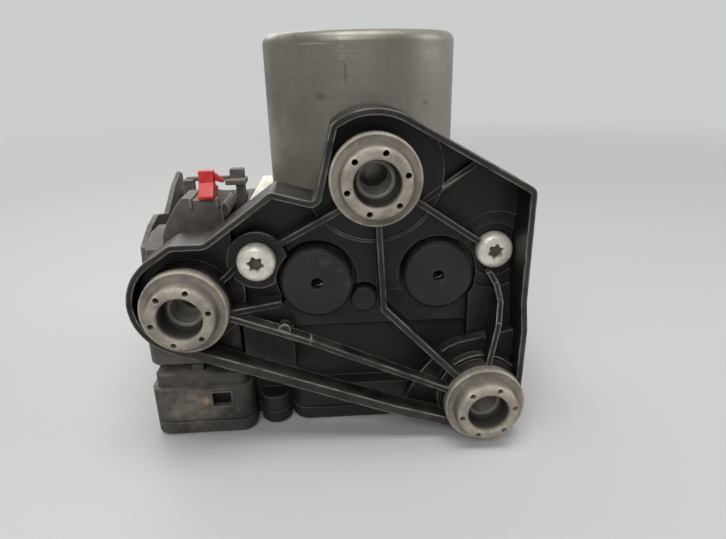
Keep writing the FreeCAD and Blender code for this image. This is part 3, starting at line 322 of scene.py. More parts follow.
def mouldedGrainGroup():
    # Height of a moulded or cast skin: fine grain over slow waviness
    group, given = startGroup("mouldedGrain", {
        "Grain Scale": 2600.0, "Wave Scale": 90.0, "Wave Share": 0.5,
    }, "Height")
    coords = objectCoords(group)
    fine = noiseOf(group, coords, given["Grain Scale"], 3.0, 0.6)
    slow = noiseOf(group, coords, given["Wave Scale"], 2.0, 0.5)
    return endGroup(group, sums(group, "ADD", fine, product(group, slow, given["Wave Share"])))


groups = {
    "dust": settledDustGroup(),
    "rubbed": edgeWearAndHighlightGroup(),
    "scratches": hairScratchesGroup(),
    "spot": softSpotGroup(),
    "grain": mouldedGrainGroup(),
}


def useGroup(tree, key, **values):
    # Input names are given without their spaces, such as patchScale for Patch Scale
    made = tree.nodes.new("ShaderNodeGroup")
    made.node_tree = groups[key]
    for socket in made.inputs:
        short = socket.name[0].lower() + socket.name[1:].replace(" ", "")
        if short in values:
            socket.default_value = values[short]
    return made.outputs[0]


def spotAt(tree, place, reach, **values):
    # One mark at a place, with its reach along each axis, both in mm
    centre, reach = (tuple(value * mm for value in row) for row in (place, reach))
    return useGroup(tree, "spot", centre=centre, reach=reach, **values)


def startFinish(name, look):
    # The material and its tree, with the coordinates and the clouds that its colours follow
    made, tree = newMaterial(name)
    coords = objectCoords(tree)
    return made, tree, coords, patchesOf(tree, coords, *look["clouds"])


def finishSurface(tree, look, colour, rough, metallic=0.0, relief=None):
    # The shader of one finish; bump is a strength and a distance in mm
    fine, wave, share = look["grain"]
    height = useGroup(tree, "grain", grainScale=fine, waveScale=wave, waveShare=share)
    if relief:
        height = sums(tree, "ADD", height, relief)
    strength, distance = look["bump"]
    raised = addNode(tree, "ShaderNodeBump", {
        "Height": height, "Strength": strength, "Distance": distance * mm,
    })
    shader = addNode(tree, "ShaderNodeBsdfPrincipled", {
        "Base Color": colour, "Roughness": rough, "Metallic": metallic, "Normal": raised.outputs[0],
        "Specular IOR Level": look.get("specular", 0.5),
    })
    addNode(tree, "ShaderNodeOutputMaterial", {"Surface": shader.outputs[0]})


def layers(tree, colour, covers):
    # Lays (mask, colour) pairs over a first colour
    for mask, over in covers:
        colour = blendColour(tree, mask, colour, over)
    return colour


# Finishes. Clouds and other patches hold a noise, its range and, where it isn't 0 to 1, the result's;
# rough is the roughness where the clouds are 0 and where they are 1; grain holds the scale of the
# grain, the scale of the waves and the waves' share

nylon = {
    "deep": (0.0052, 0.0050, 0.0048, 1.0),
    "pale": (0.0105, 0.0100, 0.0092, 1.0),
    "dust": (0.110, 0.100, 0.086, 1.0),
    "scuff": (0.070, 0.065, 0.056, 1.0),
    "rubbed": (0.400, 0.370, 0.320, 1.0),
    "scratch": (0.050, 0.047, 0.043, 1.0),
    "clouds": ((38.0, 5.0, 0.6), (0.35, 0.7)),
    "worn": ((70.0, 6.0, 0.7), (0.40, 0.62), (0.12, 1.0)),
    "rough": (0.31, 0.46),
    "scratches": {"turn": (0.0, 0.7, 0.0), "along": 30.0, "across": 520.0, "width": 0.010, "amount": 0.5},
    # Places on Y in mm between which edge wear with painted highlight grows to its full strength and scuffs
    # set in
    "rubbedRange": (-38.0, -45.0),
    "scuffRange": (-48.0, -50.6),
    "grain": (2400.0, 140.0, 0.8),
    "bump": (0.22, 0.4),
    "specular": 0.34,
}


def bracketNylon():
    made, tree, coords, clouds = startFinish("bracketNylon", nylon)
    dust = useGroup(tree, "dust", amount=0.42, patchScale=85.0, film=0.008)
    rubbed = useGroup(tree, "rubbed", amount=1.0, breakUp=150.0)
    scratches = useGroup(tree, "scratches", **nylon["scratches"])
    # The rim and the struts stand furthest forward; edge wear with painted highlight is strongest there, and
    # they are scuffed in patches
    rubbed = product(tree, rubbed, rangeAlong(tree, coords, "Y", nylon["rubbedRange"], 0.30, 1.0))
    worn = patchesOf(tree, coords, *nylon["worn"])
    scuff = product(tree, rangeAlong(tree, coords, "Y", nylon["scuffRange"]), worn, 0.35)
    colour = layers(tree, blendColour(tree, clouds, nylon["deep"], nylon["pale"]), [
        (scratches, nylon["scratch"]), (scuff, nylon["scuff"]), (dust, nylon["dust"]),
        (rubbed, nylon["rubbed"]),
    ])
    rough = sums(tree, "ADD", spread(tree, clouds, nylon["rough"]), product(tree, dust, 0.25))
    finishSurface(tree, nylon, colour, rough)
    return made


rubber = {
    "grey": (0.360, 0.316, 0.262, 1.0),
    "dark": (0.200, 0.178, 0.148, 1.0),
    "bore": (0.036, 0.034, 0.030, 1.0),
    "dust": (0.520, 0.465, 0.390, 1.0),
    "rubbed": (0.640, 0.580, 0.500, 1.0),
    "clouds": ((160.0, 7.0, 0.68), (0.36, 0.64)),
    "speck": ((1100.0, 3.0, 0.65), (0.54, 0.70), (0.0, 0.6)),
    "rough": (0.62, 0.78),
    "grain": (1800.0, 260.0, 0.6),
    "bump": (0.3, 0.4),
    "specular": 0.35,
}


def bushRubber():
    made, tree, coords, clouds = startFinish("bushRubber", rubber)
    speck = patchesOf(tree, coords, *rubber["speck"])
    dust = useGroup(tree, "dust", amount=0.30, patchScale=150.0, film=0.14)
    rubbed = useGroup(tree, "rubbed", amount=0.5, breakUp=160.0)
    # Painted shade in the bore and the grooves, from the shadow attribute
    shadow = addNode(tree, "ShaderNodeAttribute", attribute_name="shadow").outputs["Fac"]
    colour = layers(tree, blendColour(tree, clouds, rubber["dark"], rubber["grey"]), [
        (speck, rubber["dark"]), (dust, rubber["dust"]), (rubbed, rubber["rubbed"]), (shadow, rubber["bore"]),
    ])
    finishSurface(tree, rubber, colour, spread(tree, clouds, rubber["rough"]))
    return made


# Bracket bolts: radius, distance behind the head's top
bolt = {
    "profile": (
        (0.0, 0.0), (1.6, 0.02), (3.0, 0.08), (4.1, 0.22), (4.9, 0.48), (5.5, 0.90), (5.88, 1.45),
        (6.05, 2.1), (6.1, 2.8), (6.1, 3.75), (5.85, 4.0), (2.5, 4.0), (2.5, 17.0), (1.7, 18.0), (0.0, 18.0),
    ),
    "lobes": 6, "recessRadius": 2.32, "recessWave": 0.16, "recessDepth": 2.4, "recessRounding": 0.12,
    # (x, z, y of the head's top, turn of the recess in degrees)
    "places": ((-35.5, 65.3, -47.5, 12.0), (41.4, 64.2, -41.0, 40.0)),
}

zinc = {
    "bright": (0.86, 0.82, 0.73, 1.0),
    "dull": (0.62, 0.58, 0.51, 1.0),
    "grime": (0.10, 0.09, 0.078, 1.0),
    "recess": (0.085, 0.082, 0.070, 1.0),
    "recessReach": (3.0, 1.9, 3.0),
    "clouds": ((320.0, 5.0, 0.6), (0.35, 0.65)),
    "grimePatches": ((150.0, 4.0, 0.6), (0.6, 0.78), (0.0, 0.6)),
    "rough": (0.46, 0.32),
    "metallic": (0.25, 0.05),        # where it is clean and where it is grimy
    "scratches": {"turn": (0.0, 0.5, 0.0), "along": 140.0, "across": 2600.0, "width": 0.05, "amount": 0.4},
    "grain": (3200.0, 500.0, 0.7),
    "bump": (0.25, 0.3),
}


def zincPlate():
    made, tree, coords, clouds = startFinish("zincPlate", zinc)
    grime = patchesOf(tree, coords, *zinc["grimePatches"])
    scratches = useGroup(tree, "scratches", **zinc["scratches"])
    colour = blendColour(tree, clouds, zinc["dull"], zinc["bright"])
    # Painted shade inside the sleeves in the bushes' bores, from the shadow attribute
    shadow = addNode(tree, "ShaderNodeAttribute", attribute_name="shadow").outputs["Fac"]
    covers = [(grime, zinc["grime"]), (scratches, zinc["bright"]), (shadow, rubber["bore"])]
    # Painted shade at the bottom of each bolt head's recess
    for x, z, top, _ in bolt["places"]:
        bottom = (x, top + bolt["recessDepth"], z)
        covers.append((spotAt(tree, bottom, zinc["recessReach"], softness=0.25, ragged=0.1), zinc["recess"]))
    colour = layers(tree, colour, covers)
    rough = spread(tree, clouds, zinc["rough"])
    metallic = spread(tree, grime, zinc["metallic"])
    finishSurface(tree, zinc, colour, rough, metallic)
    return made


block = {
    "black": (0.0120, 0.0118, 0.0115, 1.0),
    "worn": (0.030, 0.029, 0.027, 1.0),
    "machined": (0.70, 0.66, 0.56, 1.0),
    "rubbed": (0.26, 0.25, 0.23, 1.0),
    "machinedFrom": (1.2, 0.5),        # under the top, in mm
    "clouds": ((60.0, 5.0, 0.6), (0.35, 0.7)),
    "rough": (0.42, 0.56),
    "grain": (2600.0, 300.0, 0.3),
    "bump": (0.15, 0.3),
    "specular": 0.4,
}


def blockSkin():
    made, tree, coords, clouds = startFinish("blockSkin", block)
    normal = addNode(tree, "ShaderNodeTexCoord").outputs["Normal"]
    upward = rangeOf(tree, axisOf(tree, normal, "Z"), 0.6, 0.9)
    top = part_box("hydraulic_block")[1].z / mm
    high = rangeAlong(tree, coords, "Z", [top - under for under in block["machinedFrom"]])
    machined = product(tree, upward, high)
    rubbed = useGroup(tree, "rubbed", amount=0.5, breakUp=140.0)
    dust = useGroup(tree, "dust", amount=0.3, patchScale=90.0, film=0.06)
    colour = layers(tree, blendColour(tree, clouds, block["black"], block["worn"]), [
        (rubbed, block["rubbed"]), (machined, block["machined"]), (dust, nylon["dust"]),
    ])
    rough = spread(tree, clouds, block["rough"])
    metallic = sums(tree, "MAXIMUM", product(tree, machined, 0.7), product(tree, rubbed, 0.8))
    finishSurface(tree, block, colour, rough, metallic)
    return made


cap = {
    "charcoal": (0.0105, 0.0105, 0.0095, 1.0),
    "faded": (0.0180, 0.0176, 0.0162, 1.0),
    "smudge": (0.062, 0.058, 0.052, 1.0),
    # Smudges on the left cap, at (x, z) in mm, with their reach and strength
    "smudges": (((-5.9, 56.7), 2.6, 0.5), ((-14.2, 64.2), 2.4, 0.45), ((-9.6, 61.3), 1.6, 0.4)),
    "clouds": ((110.0, 5.0, 0.6), (0.35, 0.7)),
    "rough": (0.5, 0.62),
    "scratches": {"turn": (0.0, -0.6, 0.0), "along": 60.0, "across": 900.0, "width": 0.012, "amount": 0.35},
    "grain": (2200.0, 200.0, 0.4),
    "bump": (0.2, 0.3),
    "specular": 0.4,
}


def capPlastic():
    made, tree, _, clouds = startFinish("capPlastic", cap)
    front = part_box("left_accumulator_cap")[0].y / mm
    covers = [(useGroup(tree, "scratches", **cap["scratches"]), cap["smudge"])]
    for (x, z), reach, amount in cap["smudges"]:
        smudge = spotAt(tree, (x, front, z), (reach,) * 3, softness=0.9, ragged=0.9, amount=amount)
        covers.append((smudge, cap["smudge"]))
    covers.append((useGroup(tree, "dust", amount=0.5, patchScale=120.0, film=0.08), nylon["dust"]))
    covers.append((useGroup(tree, "rubbed", amount=0.35, breakUp=200.0), cap["smudge"]))
    colour = layers(tree, blendColour(tree, clouds, cap["charcoal"], cap["faded"]), covers)
    finishSurface(tree, cap, colour, spread(tree, clouds, cap["rough"]))
    return made


can = {
    "plating": (0.250, 0.232, 0.197, 1.0),
    "olive": (0.135, 0.128, 0.100, 1.0),
    "pale": (0.390, 0.364, 0.320, 1.0),
    "stain": (0.080, 0.072, 0.056, 1.0),
    "bare": (0.52, 0.50, 0.46, 1.0),
    # Marks on the can: (x, y, z) in mm, reach in mm along x, y and z, strength, colour key; the last one is
    # painted light on the can behind the upper bush's bore
    "marks": (
        ((-21.0, -25.5, 130.6), (1.1, 1.1, 0.6), 0.8, "stain"),
        ((-14.5, -28.4, 128.3), (7.6, 5.0, 0.35), 0.5, "bare"),
        ((-5.7, -32.5, 120.0), (0.7, 3.0, 4.2), 0.55, "stain"),
        ((26.3, -20.0, 119.9), (1.5, 1.5, 1.1), 0.5, "pale"),
        ((-13.3, -30.2, 113.3), (2.6, 3.0, 1.6), 0.4, "stain"),
        ((19.5, -26.6, 110.3), (1.6, 2.0, 1.2), 0.35, "stain"),
        # Painted light where the can shows through the upper bush's bore
        ((1.6, -33.0, 91.3), (4.0, 4.0, 4.0), 0.9, "bare"),
    ),
    "metallic": 0.62,
    "clouds": ((42.0, 6.0, 0.62), (0.34, 0.68)),
    "speck": ((1300.0, 2.0, 0.6), (0.62, 0.74), (0.0, 0.5)),
    # Rings and runs of stain: scales along x, y and z, then the noise and its range
    "rings": ((6.0, 6.0, 520.0), (1.0, 2.0, 0.6), (0.36, 0.66)),
    "runs": ((130.0, 130.0, 14.0), (1.0, 6.0, 0.7, 0.4), (0.42, 0.74)),
    "rough": (0.50, 0.38),
    "scratches": {"turn": (0.2, 0.5, 0.0), "along": 35.0, "across": 420.0, "width": 0.008, "amount": 0.5},
    "grain": (1500.0, 70.0, 1.2),
    "bump": (0.12, 0.4),
}


def canPlating():
    made, tree, coords, clouds = startFinish("canPlating", can)
    # Painted shade: the can is darkened towards its left side
    leftShade = rangeAlong(tree, coords, "X", [corner.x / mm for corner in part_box("motor_can")], 1.0, 0.0)
    rings, runs = (
        patchesOf(tree, vectors(tree, "MULTIPLY", coords, scales), noise, reach)
        for scales, noise, reach in (can["rings"], can["runs"])
    )
    speck = patchesOf(tree, coords, *can["speck"])
    covers = [
        (product(tree, leftShade, 0.75), can["olive"]),
        (product(tree, clouds, 0.30), can["pale"]),
        (product(tree, runs, 0.34), can["olive"]),
        (product(tree, rings, 0.05), can["pale"]),
        (product(tree, speck, 0.4), can["stain"]),
    ]
    for place, reach, amount, key in can["marks"]:
        covers.append((spotAt(tree, place, reach, softness=0.6, ragged=0.6, amount=amount), can[key]))
    covers.append((useGroup(tree, "scratches", **can["scratches"]), can["bare"]))
    covers.append((useGroup(tree, "rubbed", amount=0.4, breakUp=60.0), can["bare"]))
    colour = layers(tree, can["plating"], covers)
    rough = spread(tree, clouds, can["rough"])
    finishSurface(tree, can, colour, rough, can["metallic"], product(tree, rings, 0.5))
    return made


unit = {
    "deep": (0.0130, 0.0125, 0.0116, 1.0),
    "pale": (0.0430, 0.0405, 0.0362, 1.0),
    "dust": (0.215, 0.190, 0.155, 1.0),
    "sand": (0.290, 0.235, 0.152, 1.0),
    "rubbed": (0.170, 0.152, 0.127, 1.0),
    # Patches of dried dust on the lobe's front: (x, z) in mm, reach, reach in depth, strength, colour key
    "patches": (
        ((-62.0, 12.0), (15.0, 10.0), 8.0, 0.62, "dust"),
        ((-67.8, 10.3), (4.2, 2.4), 8.0, 0.55, "dust"),
        ((-61.6, 15.7), (3.4, 2.6), 8.0, 0.50, "dust"),
        ((-57.6, 13.5), (1.5, 2.8), 2.0, 0.85, "sand"),
        ((-36.0, 36.3), (1.7, 0.9), 8.0, 0.55, "sand"),
        ((-35.5, 30.5), (1.9, 0.4), 8.0, 0.45, "sand"),
    ),
    "clouds": ((55.0, 6.0, 0.62), (0.34, 0.68)),
    "rough": (0.50, 0.64),
    "scratches": {"turn": (0.0, 0.15, 0.0), "along": 40.0, "across": 700.0, "width": 0.010, "amount": 0.35},
    # Painted shade darkens the front under the bracket and between its struts, from the first to the second
    # place in mm
    "cleanX": (-46.0, -37.0),
    "cleanY": (-12.0, -26.0),
    # Painted shade inside the lobe's window: x, depth behind the front and z, then reach, in mm
    "window": ((-52.1, 6.0, 14.2), (6.0, 5.4, 5.0)),
    "grain": (2000.0, 120.0, 0.7),
    "bump": (0.25, 0.4),
    "specular": 0.4,
}


def unitPlastic():
    made, tree, coords, clouds = startFinish("unitPlastic", unit)
    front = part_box("control_unit_cover")[0].y / mm
    covers = []
    for (x, z), (wide, tall), deep, amount, key in unit["patches"]:
        patch = spotAt(tree, (x, front, z), (wide, deep, tall), softness=1.0, ragged=1.6, amount=amount)
        covers.append((patch, unit[key]))
    covers.append((useGroup(tree, "scratches", **unit["scratches"]), unit["rubbed"]))
    covers.append((useGroup(tree, "dust", amount=0.85, patchScale=70.0, film=0.22), unit["dust"]))
    # Painted shade over the front under the bracket and between its struts
    clean = [rangeAlong(tree, coords, axis, unit["clean" + axis]) for axis in ("X", "Y")]
    covers.append((product(tree, *clean, 0.9), nylon["pale"]))
    covers.append((useGroup(tree, "rubbed", amount=0.5, breakUp=90.0), unit["rubbed"]))
    # Painted shade inside the lobe's window
    (x, depth, z), reach = unit["window"]
    covers.append((spotAt(tree, (x, front + depth, z), reach, softness=0.1, ragged=0.0), nylon["deep"]))
    colour = layers(tree, blendColour(tree, clouds, unit["deep"], unit["pale"]), covers)
    finishSurface(tree, unit, colour, spread(tree, clouds, unit["rough"]))
    return made


plug = {
    "deep": (0.0340, 0.0302, 0.0276, 1.0),
    "pale": (0.0920, 0.0800, 0.0725, 1.0),
    "dust": (0.215, 0.188, 0.164, 1.0),
    "rubbed": (0.360, 0.322, 0.272, 1.0),
    "clouds": ((80.0, 6.0, 0.64), (0.34, 0.66)),
    "rough": (0.45, 0.6),
    "grain": (2200.0, 160.0, 0.6),
    "bump": (0.25, 0.4),
    "specular": 0.45,
}


def plugPlastic():
    made, tree, _, clouds = startFinish("plugPlastic", plug)
    dust = useGroup(tree, "dust", amount=0.9, patchScale=95.0, film=0.30)
    rubbed = useGroup(tree, "rubbed", amount=0.7, breakUp=100.0)
    colour = blendColour(tree, clouds, plug["deep"], plug["pale"])
    colour = layers(tree, colour, [(dust, plug["dust"]), (rubbed, plug["rubbed"])])
    rough = sums(tree, "ADD", spread(tree, clouds, plug["rough"]), product(tree, dust, 0.2))
    finishSurface(tree, plug, colour, rough)
    return made


latch = {
    "red": (0.44, 0.007, 0.007, 1.0),
    "faded": (0.56, 0.024, 0.020, 1.0),
    "rubbed": (0.68, 0.130, 0.100, 1.0),
    "clouds": ((220.0, 4.0, 0.6), (0.35, 0.7)),
    "rough": (0.34, 0.48),
    "grain": (2200.0, 300.0, 0.5),
    "bump": (0.15, 0.3),
}


def latchPlastic():
    made, tree, _, clouds = startFinish("latchPlastic", latch)
    rubbed = useGroup(tree, "rubbed", amount=0.55, breakUp=260.0)
    dust = useGroup(tree, "dust", amount=0.15, patchScale=200.0, film=0.0)
    colour = blendColour(tree, clouds, latch["red"], latch["faded"])
    colour = layers(tree, colour, [(rubbed, latch["rubbed"]), (dust, plug["dust"])])
    finishSurface(tree, latch, colour, spread(tree, clouds, latch["rough"]))
    return made


# Finishes of the pieces inside: two colours that a noise mixes, roughness and metallic
innerFinishes = {
    "groundSteel": ((0.50, 0.49, 0.47, 1.0), (0.60, 0.59, 0.57, 1.0), 0.32, 0.95),
    "brushPlate": ((0.36, 0.29, 0.18, 1.0), (0.47, 0.39, 0.26, 1.0), 0.55, 0.0),
    "brushCarbon": ((0.022, 0.022, 0.022, 1.0), (0.05, 0.05, 0.05, 1.0), 0.6, 0.2),
    "magnetFerrite": ((0.04, 0.04, 0.04, 1.0), (0.08, 0.08, 0.078, 1.0), 0.65, 0.1),
    "enamelCopper": ((0.55, 0.24, 0.11, 1.0), (0.72, 0.36, 0.18, 1.0), 0.35, 0.9),
    "boardGreen": ((0.012, 0.085, 0.035, 1.0), (0.02, 0.13, 0.055, 1.0), 0.4, 0.0),
    "tinnedPin": ((0.55, 0.53, 0.48, 1.0), (0.66, 0.64, 0.58, 1.0), 0.35, 0.95),
    "sealRubber": ((0.018, 0.018, 0.022, 1.0), (0.035, 0.035, 0.042, 1.0), 0.7, 0.0),
}


innerLook = {
    "clouds": ((240.0, 4.0, 0.6), (0.35, 0.65)),
    "grain": (2600.0, 300.0, 0.5),
    "bump": (0.12, 0.3),
}


def innerFinish(name, first, second, rough, metallic):
    made, tree, _, clouds = startFinish(name, innerLook)
    colour = blendColour(tree, clouds, first, second)
    finishSurface(tree, innerLook, colour, spread(tree, clouds, (rough + 0.05, rough - 0.05)), metallic)
    return made


inner = {name: innerFinish(name, *values) for name, values in innerFinishes.items()}

# The record's material slot: its finish
finishes = {
    "black_nylon": bracketNylon(),
    "bush_rubber": bushRubber(),
    "zinc_steel": zincPlate(),
    "black_aluminium": blockSkin(),
    "cap_plastic": capPlastic(),
    "plated_can": canPlating(),
    "bright_steel": inner["groundSteel"],
    "brush_plate_plastic": inner["brushPlate"],
    "brush_carbon": inner["brushCarbon"],
    "magnet_ferrite": inner["magnetFerrite"],
    "copper": inner["enamelCopper"],
    "unit_plastic": unitPlastic(),
    "board_laminate": inner["boardGreen"],
    "tinned_brass": inner["tinnedPin"],
    "plug_plastic": plugPlastic(),
    "red_latch": latchPlastic(),
    "seal_rubber": inner["sealRubber"],
}
slotOf = {entry["node"]: entry["material_slot"] for entry in frame["record"]["subparts"]}
bodies = frame["record"]["behaviour"]["bodies"]
bodyOf = {node: body for body, nodes in bodies.items() for node in nodes}


def paintFrame():
    for name, piece in frame["nodes"].items():
        finish = finishes[slotOf[name]]
        if piece.material_slots:
            for place in piece.material_slots:
                place.material = finish
        else:
            piece.data.materials.append(finish)


paintFrame()
print("finishes made:", len(finishes))


# Mesh helpers

# Lengths in mm, the area in square mm and the angle in degrees
meshCare = {
    "weld": 0.02,              # vertices nearer than this are one
    "flatAngle": 0.6,          # faces that lean less than this to each other are one
    "strayArea": 3.0,          # a rounding face larger than this and further off than strayAway is stray
    "strayAway": 0.9,
    "narrowing": 0.85,         # share of the width that the next try takes
    "pullFrom": 0.75,          # vertices further off than this share of the width go back to the shape
    "outerLean": 0.001,        # how far the neighbours of a vertex fall behind it where it is an outer one
}


def newPiece(name, mesh):
    piece = bpy.data.objects.new(name, mesh)
    bpy.context.scene.collection.objects.link(piece)
    return piece


def pieceFrom(work, name):
    mesh = bpy.data.meshes.new(name)
    work.to_mesh(mesh)
    work.free()
    return newPiece(name, mesh)


def settle(piece):
    # Turns the modifiers into the mesh
    seen = bpy.context.evaluated_depsgraph_get()
    source = piece.evaluated_get(seen)
    made = bpy.data.meshes.new_from_object(source, preserve_all_data_layers=True, depsgraph=seen)
    piece.modifiers.clear()
    piece.data = made


def mergedCopy(node, flatten=True):
    # The CAD node's triangles, welded; with flatten, flat stretches are dissolved and those of more than four
    # corners cut into triangles
    weld = meshCare["weld"] * mm
    work = bmesh.new()
    work.from_mesh(frame["nodes"][node].data)
    bmesh.ops.remove_doubles(work, verts=work.verts, dist=weld)
    bmesh.ops.dissolve_degenerate(work, dist=weld, edges=work.edges)
    if flatten:
        lean = math.radians(meshCare["flatAngle"])
        bmesh.ops.dissolve_limit(work, angle_limit=lean, verts=work.verts, edges=work.edges)
        bmesh.ops.triangulate(work, faces=[face for face in work.faces if len(face.verts) > 4])
    made = bpy.data.meshes.new(node + "Dressed")
    work.verts.index_update()
    faces = [[vert.index for vert in face.verts] for face in work.faces]
    made.from_pydata([vert.co[:] for vert in work.verts], [], faces)
    work.free()
    return made


def strayFaces(piece, source):
    # Whether the rounding threw large faces off the shape; a smaller width has none
    area, away = meshCare["strayArea"] * mm * mm, meshCare["strayAway"] * mm
    made = piece.evaluated_get(bpy.context.evaluated_depsgraph_get()).data
    return any(face.area > area and source.find_nearest(face.center)[3] > away for face in made.polygons)


def roundEdges(piece, width, angle=30.0):
    # Rounds the sharp edges by a width in mm and marks the outer ones in the attribute "edge"
    width *= mm
    mesh = piece.data
    faces = [face.vertices for face in mesh.polygons]
    source = BVHTree.FromPolygons([vert.co for vert in mesh.vertices], faces)
    low, high = ([pick(vert.co[axis] for vert in mesh.vertices) for axis in range(3)] for pick in (min, max))
    for _ in range(2):
        mesh.materials.append(None)
    rounding = piece.modifiers.new("rounding", "BEVEL")
    rounding.segments = 2
    rounding.limit_method = "ANGLE"
    rounding.angle_limit = math.radians(angle)
    rounding.use_clamp_overlap = False
    rounding.material = 1        # tells the new faces from the others
    rounding.width = width
    while strayFaces(piece, source):
        width *= meshCare["narrowing"]
        rounding.width = width
    settle(piece)
    mesh = piece.data
    work = bmesh.new()
    work.from_mesh(mesh)
    work.normal_update()
    for vert in work.verts:
        # No vertex stands off the shape or outside its box
        near, _, _, away = source.find_nearest(vert.co)
        if away > width * meshCare["pullFrom"]:
            vert.co = near
        vert.co = [min(max(value, low[axis]), high[axis]) for axis, value in enumerate(vert.co)]
    edge = work.verts.layers.float.new("edge")
    for vert in work.verts:
        # Only the middle of a rounding is marked, so no wide face takes part of the mark
        if all(face.material_index == 1 for face in vert.link_faces):
            lean = sum((joint.other_vert(vert).co - vert.co).dot(vert.normal) for joint in vert.link_edges)
            vert[edge] = 1.0 if lean < -meshCare["outerLean"] * mm else 0.0
    for face in work.faces:
        face.material_index = 0
    work.to_mesh(mesh)
    work.free()
    mesh.materials.clear()


def shade(piece, finish, angle=38.0):
    mesh = piece.data
    mesh.materials.clear()
    mesh.materials.append(finish)
    mesh.shade_smooth()
    mesh.set_sharp_from_angle(angle=math.radians(angle))
    weighted = piece.modifiers.new("weighted", "WEIGHTED_NORMAL")
    weighted.keep_sharp = True
    settle(piece)


def seat(piece, slot, body, *nodes):
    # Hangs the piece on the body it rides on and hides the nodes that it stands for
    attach(piece, body)
    if nodes:
        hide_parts(*nodes)


def dressNode(node, name, width):
    # Flat faces of the bracket ring its windows, so they stay in triangles
    piece = newPiece(name, mergedCopy(node, flatten=node != "mounting_bracket"))
    roundEdges(piece, width)
    shade(piece, finishes[slotOf[node]])
    seat(piece, slotOf[node], bodyOf[node], node)


# Node: (piece, rounding in mm)
dressed = {
    "mounting_bracket": ("moulded_bracket", 0.35),
    "hydraulic_block": ("machined_block", 0.20),
    "motor_can": ("drawn_motor_can", 0.25),
    "left_accumulator_cap": ("left_store_cap", 0.20),
    "right_accumulator_cap": ("right_store_cap", 0.20),
    "pressure_plug": ("small_round_plug", 0.20),
    "control_unit_housing": ("unit_housing", 0.35),
    "control_unit_cover": ("unit_cover", 0.30),
    "plug_housing": ("plug_body", 0.35),
    "plug_cover": ("wire_hood", 0.40),
    "plug_lever": ("locking_lever", 0.40),
    "plug_latch": ("safety_latch", 0.30),
    "motor_screws": ("motor_ear_screws", 0.20),
}

for node, (name, width) in dressed.items():
    dressNode(node, name, width)
print("CAD pieces dressed:", len(dressed))


# Geometry Nodes trees for what repeats

def startTree(name, inputs):
    tree = bpy.data.node_groups.new(name, "GeometryNodeTree")
    kinds = {float: "NodeSocketFloat", int: "NodeSocketInt", tuple: "NodeSocketVector"}
    for label, value in inputs.items():
        socket = tree.interface.new_socket(name=label, in_out="INPUT", socket_type=kinds[type(value)])
        socket.default_value = value
    tree.interface.new_socket(name="Material", in_out="INPUT", socket_type="NodeSocketMaterial")
    tree.interface.new_socket(name="Geometry", in_out="OUTPUT", socket_type="NodeSocketGeometry")
    return tree, tree.nodes.new("NodeGroupInput").outputs


def endTree(tree, shape, given):
    # Stands the shape up along Y at its place, realises it and gives it its material
    upright = (-math.pi / 2, 0.0, 0.0)
    turn = addNode(tree, "ShaderNodeCombineXYZ", {1: given["Turn"]}).outputs[0]
    for key, value in (("Rotation", upright), ("Rotation", turn), ("Translation", given["Place"])):
        shape = addNode(tree, "GeometryNodeTransform", {"Geometry": shape, key: value}).outputs[0]
    shape = addNode(tree, "GeometryNodeRealizeInstances", {"Geometry": shape}).outputs[0]
    painted = addNode(tree, "GeometryNodeSetMaterial", {"Geometry": shape, "Material": given["Material"]})
    addNode(tree, "NodeGroupOutput", {"Geometry": painted.outputs[0]})
    return tree


def pegRingTree():
    # Round pegs in a ring; used to cut the holes of a bush
    tree, given = startTree("pegRing", {
        "Count": 6, "Circle": 0.01, "Peg Radius": 0.001, "Peg Length": 0.006,
        "Turn": 0.0, "Place": (0.0, 0.0, 0.0),
    })
    ring = addNode(tree, "GeometryNodeMeshCircle", {"Vertices": given["Count"], "Radius": given["Circle"]})
    peg = addNode(tree, "GeometryNodeMeshCylinder", {
        "Vertices": 24, "Radius": given["Peg Radius"], "Depth": given["Peg Length"],
    })
    pegs = addNode(tree, "GeometryNodeInstanceOnPoints", {
        "Points": ring.outputs[0], "Instance": peg.outputs[0],
    })
    return endTree(tree, pegs.outputs[0], given)


def lobedPegTree():
    # Peg whose section has rounded lobes; used to cut a driver's recess
    tree, given = startTree("lobedPeg", {
        "Lobes": 6, "Middle Radius": 0.002, "Wave": 0.14, "Depth": 0.003,
        "Turn": 0.0, "Place": (0.0, 0.0, 0.0),
    })
    ring = addNode(tree, "GeometryNodeCurvePrimitiveCircle", {
        "Resolution": 96, "Radius": given["Middle Radius"],
    })
    place = addNode(tree, "GeometryNodeInputPosition").outputs[0]
    angle = sums(tree, "ARCTAN2", axisOf(tree, place, "Y"), axisOf(tree, place, "X"))
    wave = sums(tree, "COSINE", product(tree, angle, given["Lobes"]))
    reach = sums(tree, "ADD", product(tree, wave, given["Wave"]), 1.0)
    waved = addNode(tree, "ShaderNodeVectorMath", {0: place, "Scale": reach}, operation="SCALE")
    lobed = addNode(tree, "GeometryNodeSetPosition", {
        "Geometry": ring.outputs[0], "Position": waved.outputs[0],
    })
    face = addNode(tree, "GeometryNodeFillCurve", {"Curve": lobed.outputs[0]})
    foot = addNode(tree, "GeometryNodeFlipFaces", {"Mesh": face.outputs[0]})
    lift = addNode(tree, "ShaderNodeCombineXYZ", {2: given["Depth"]})
    prism = addNode(tree, "GeometryNodeExtrudeMesh", {
        "Mesh": face.outputs[0], "Offset": lift.outputs[0], "Individual": False,
    })
    both = tree.nodes.new("GeometryNodeJoinGeometry")
    tree.links.new(prism.outputs[0], both.inputs[0])
    tree.links.new(foot.outputs[0], both.inputs[0])
    closed = addNode(tree, "GeometryNodeMergeByDistance", {"Geometry": both.outputs[0], "Distance": 1e-6})
    return endTree(tree, closed.outputs[0], given)


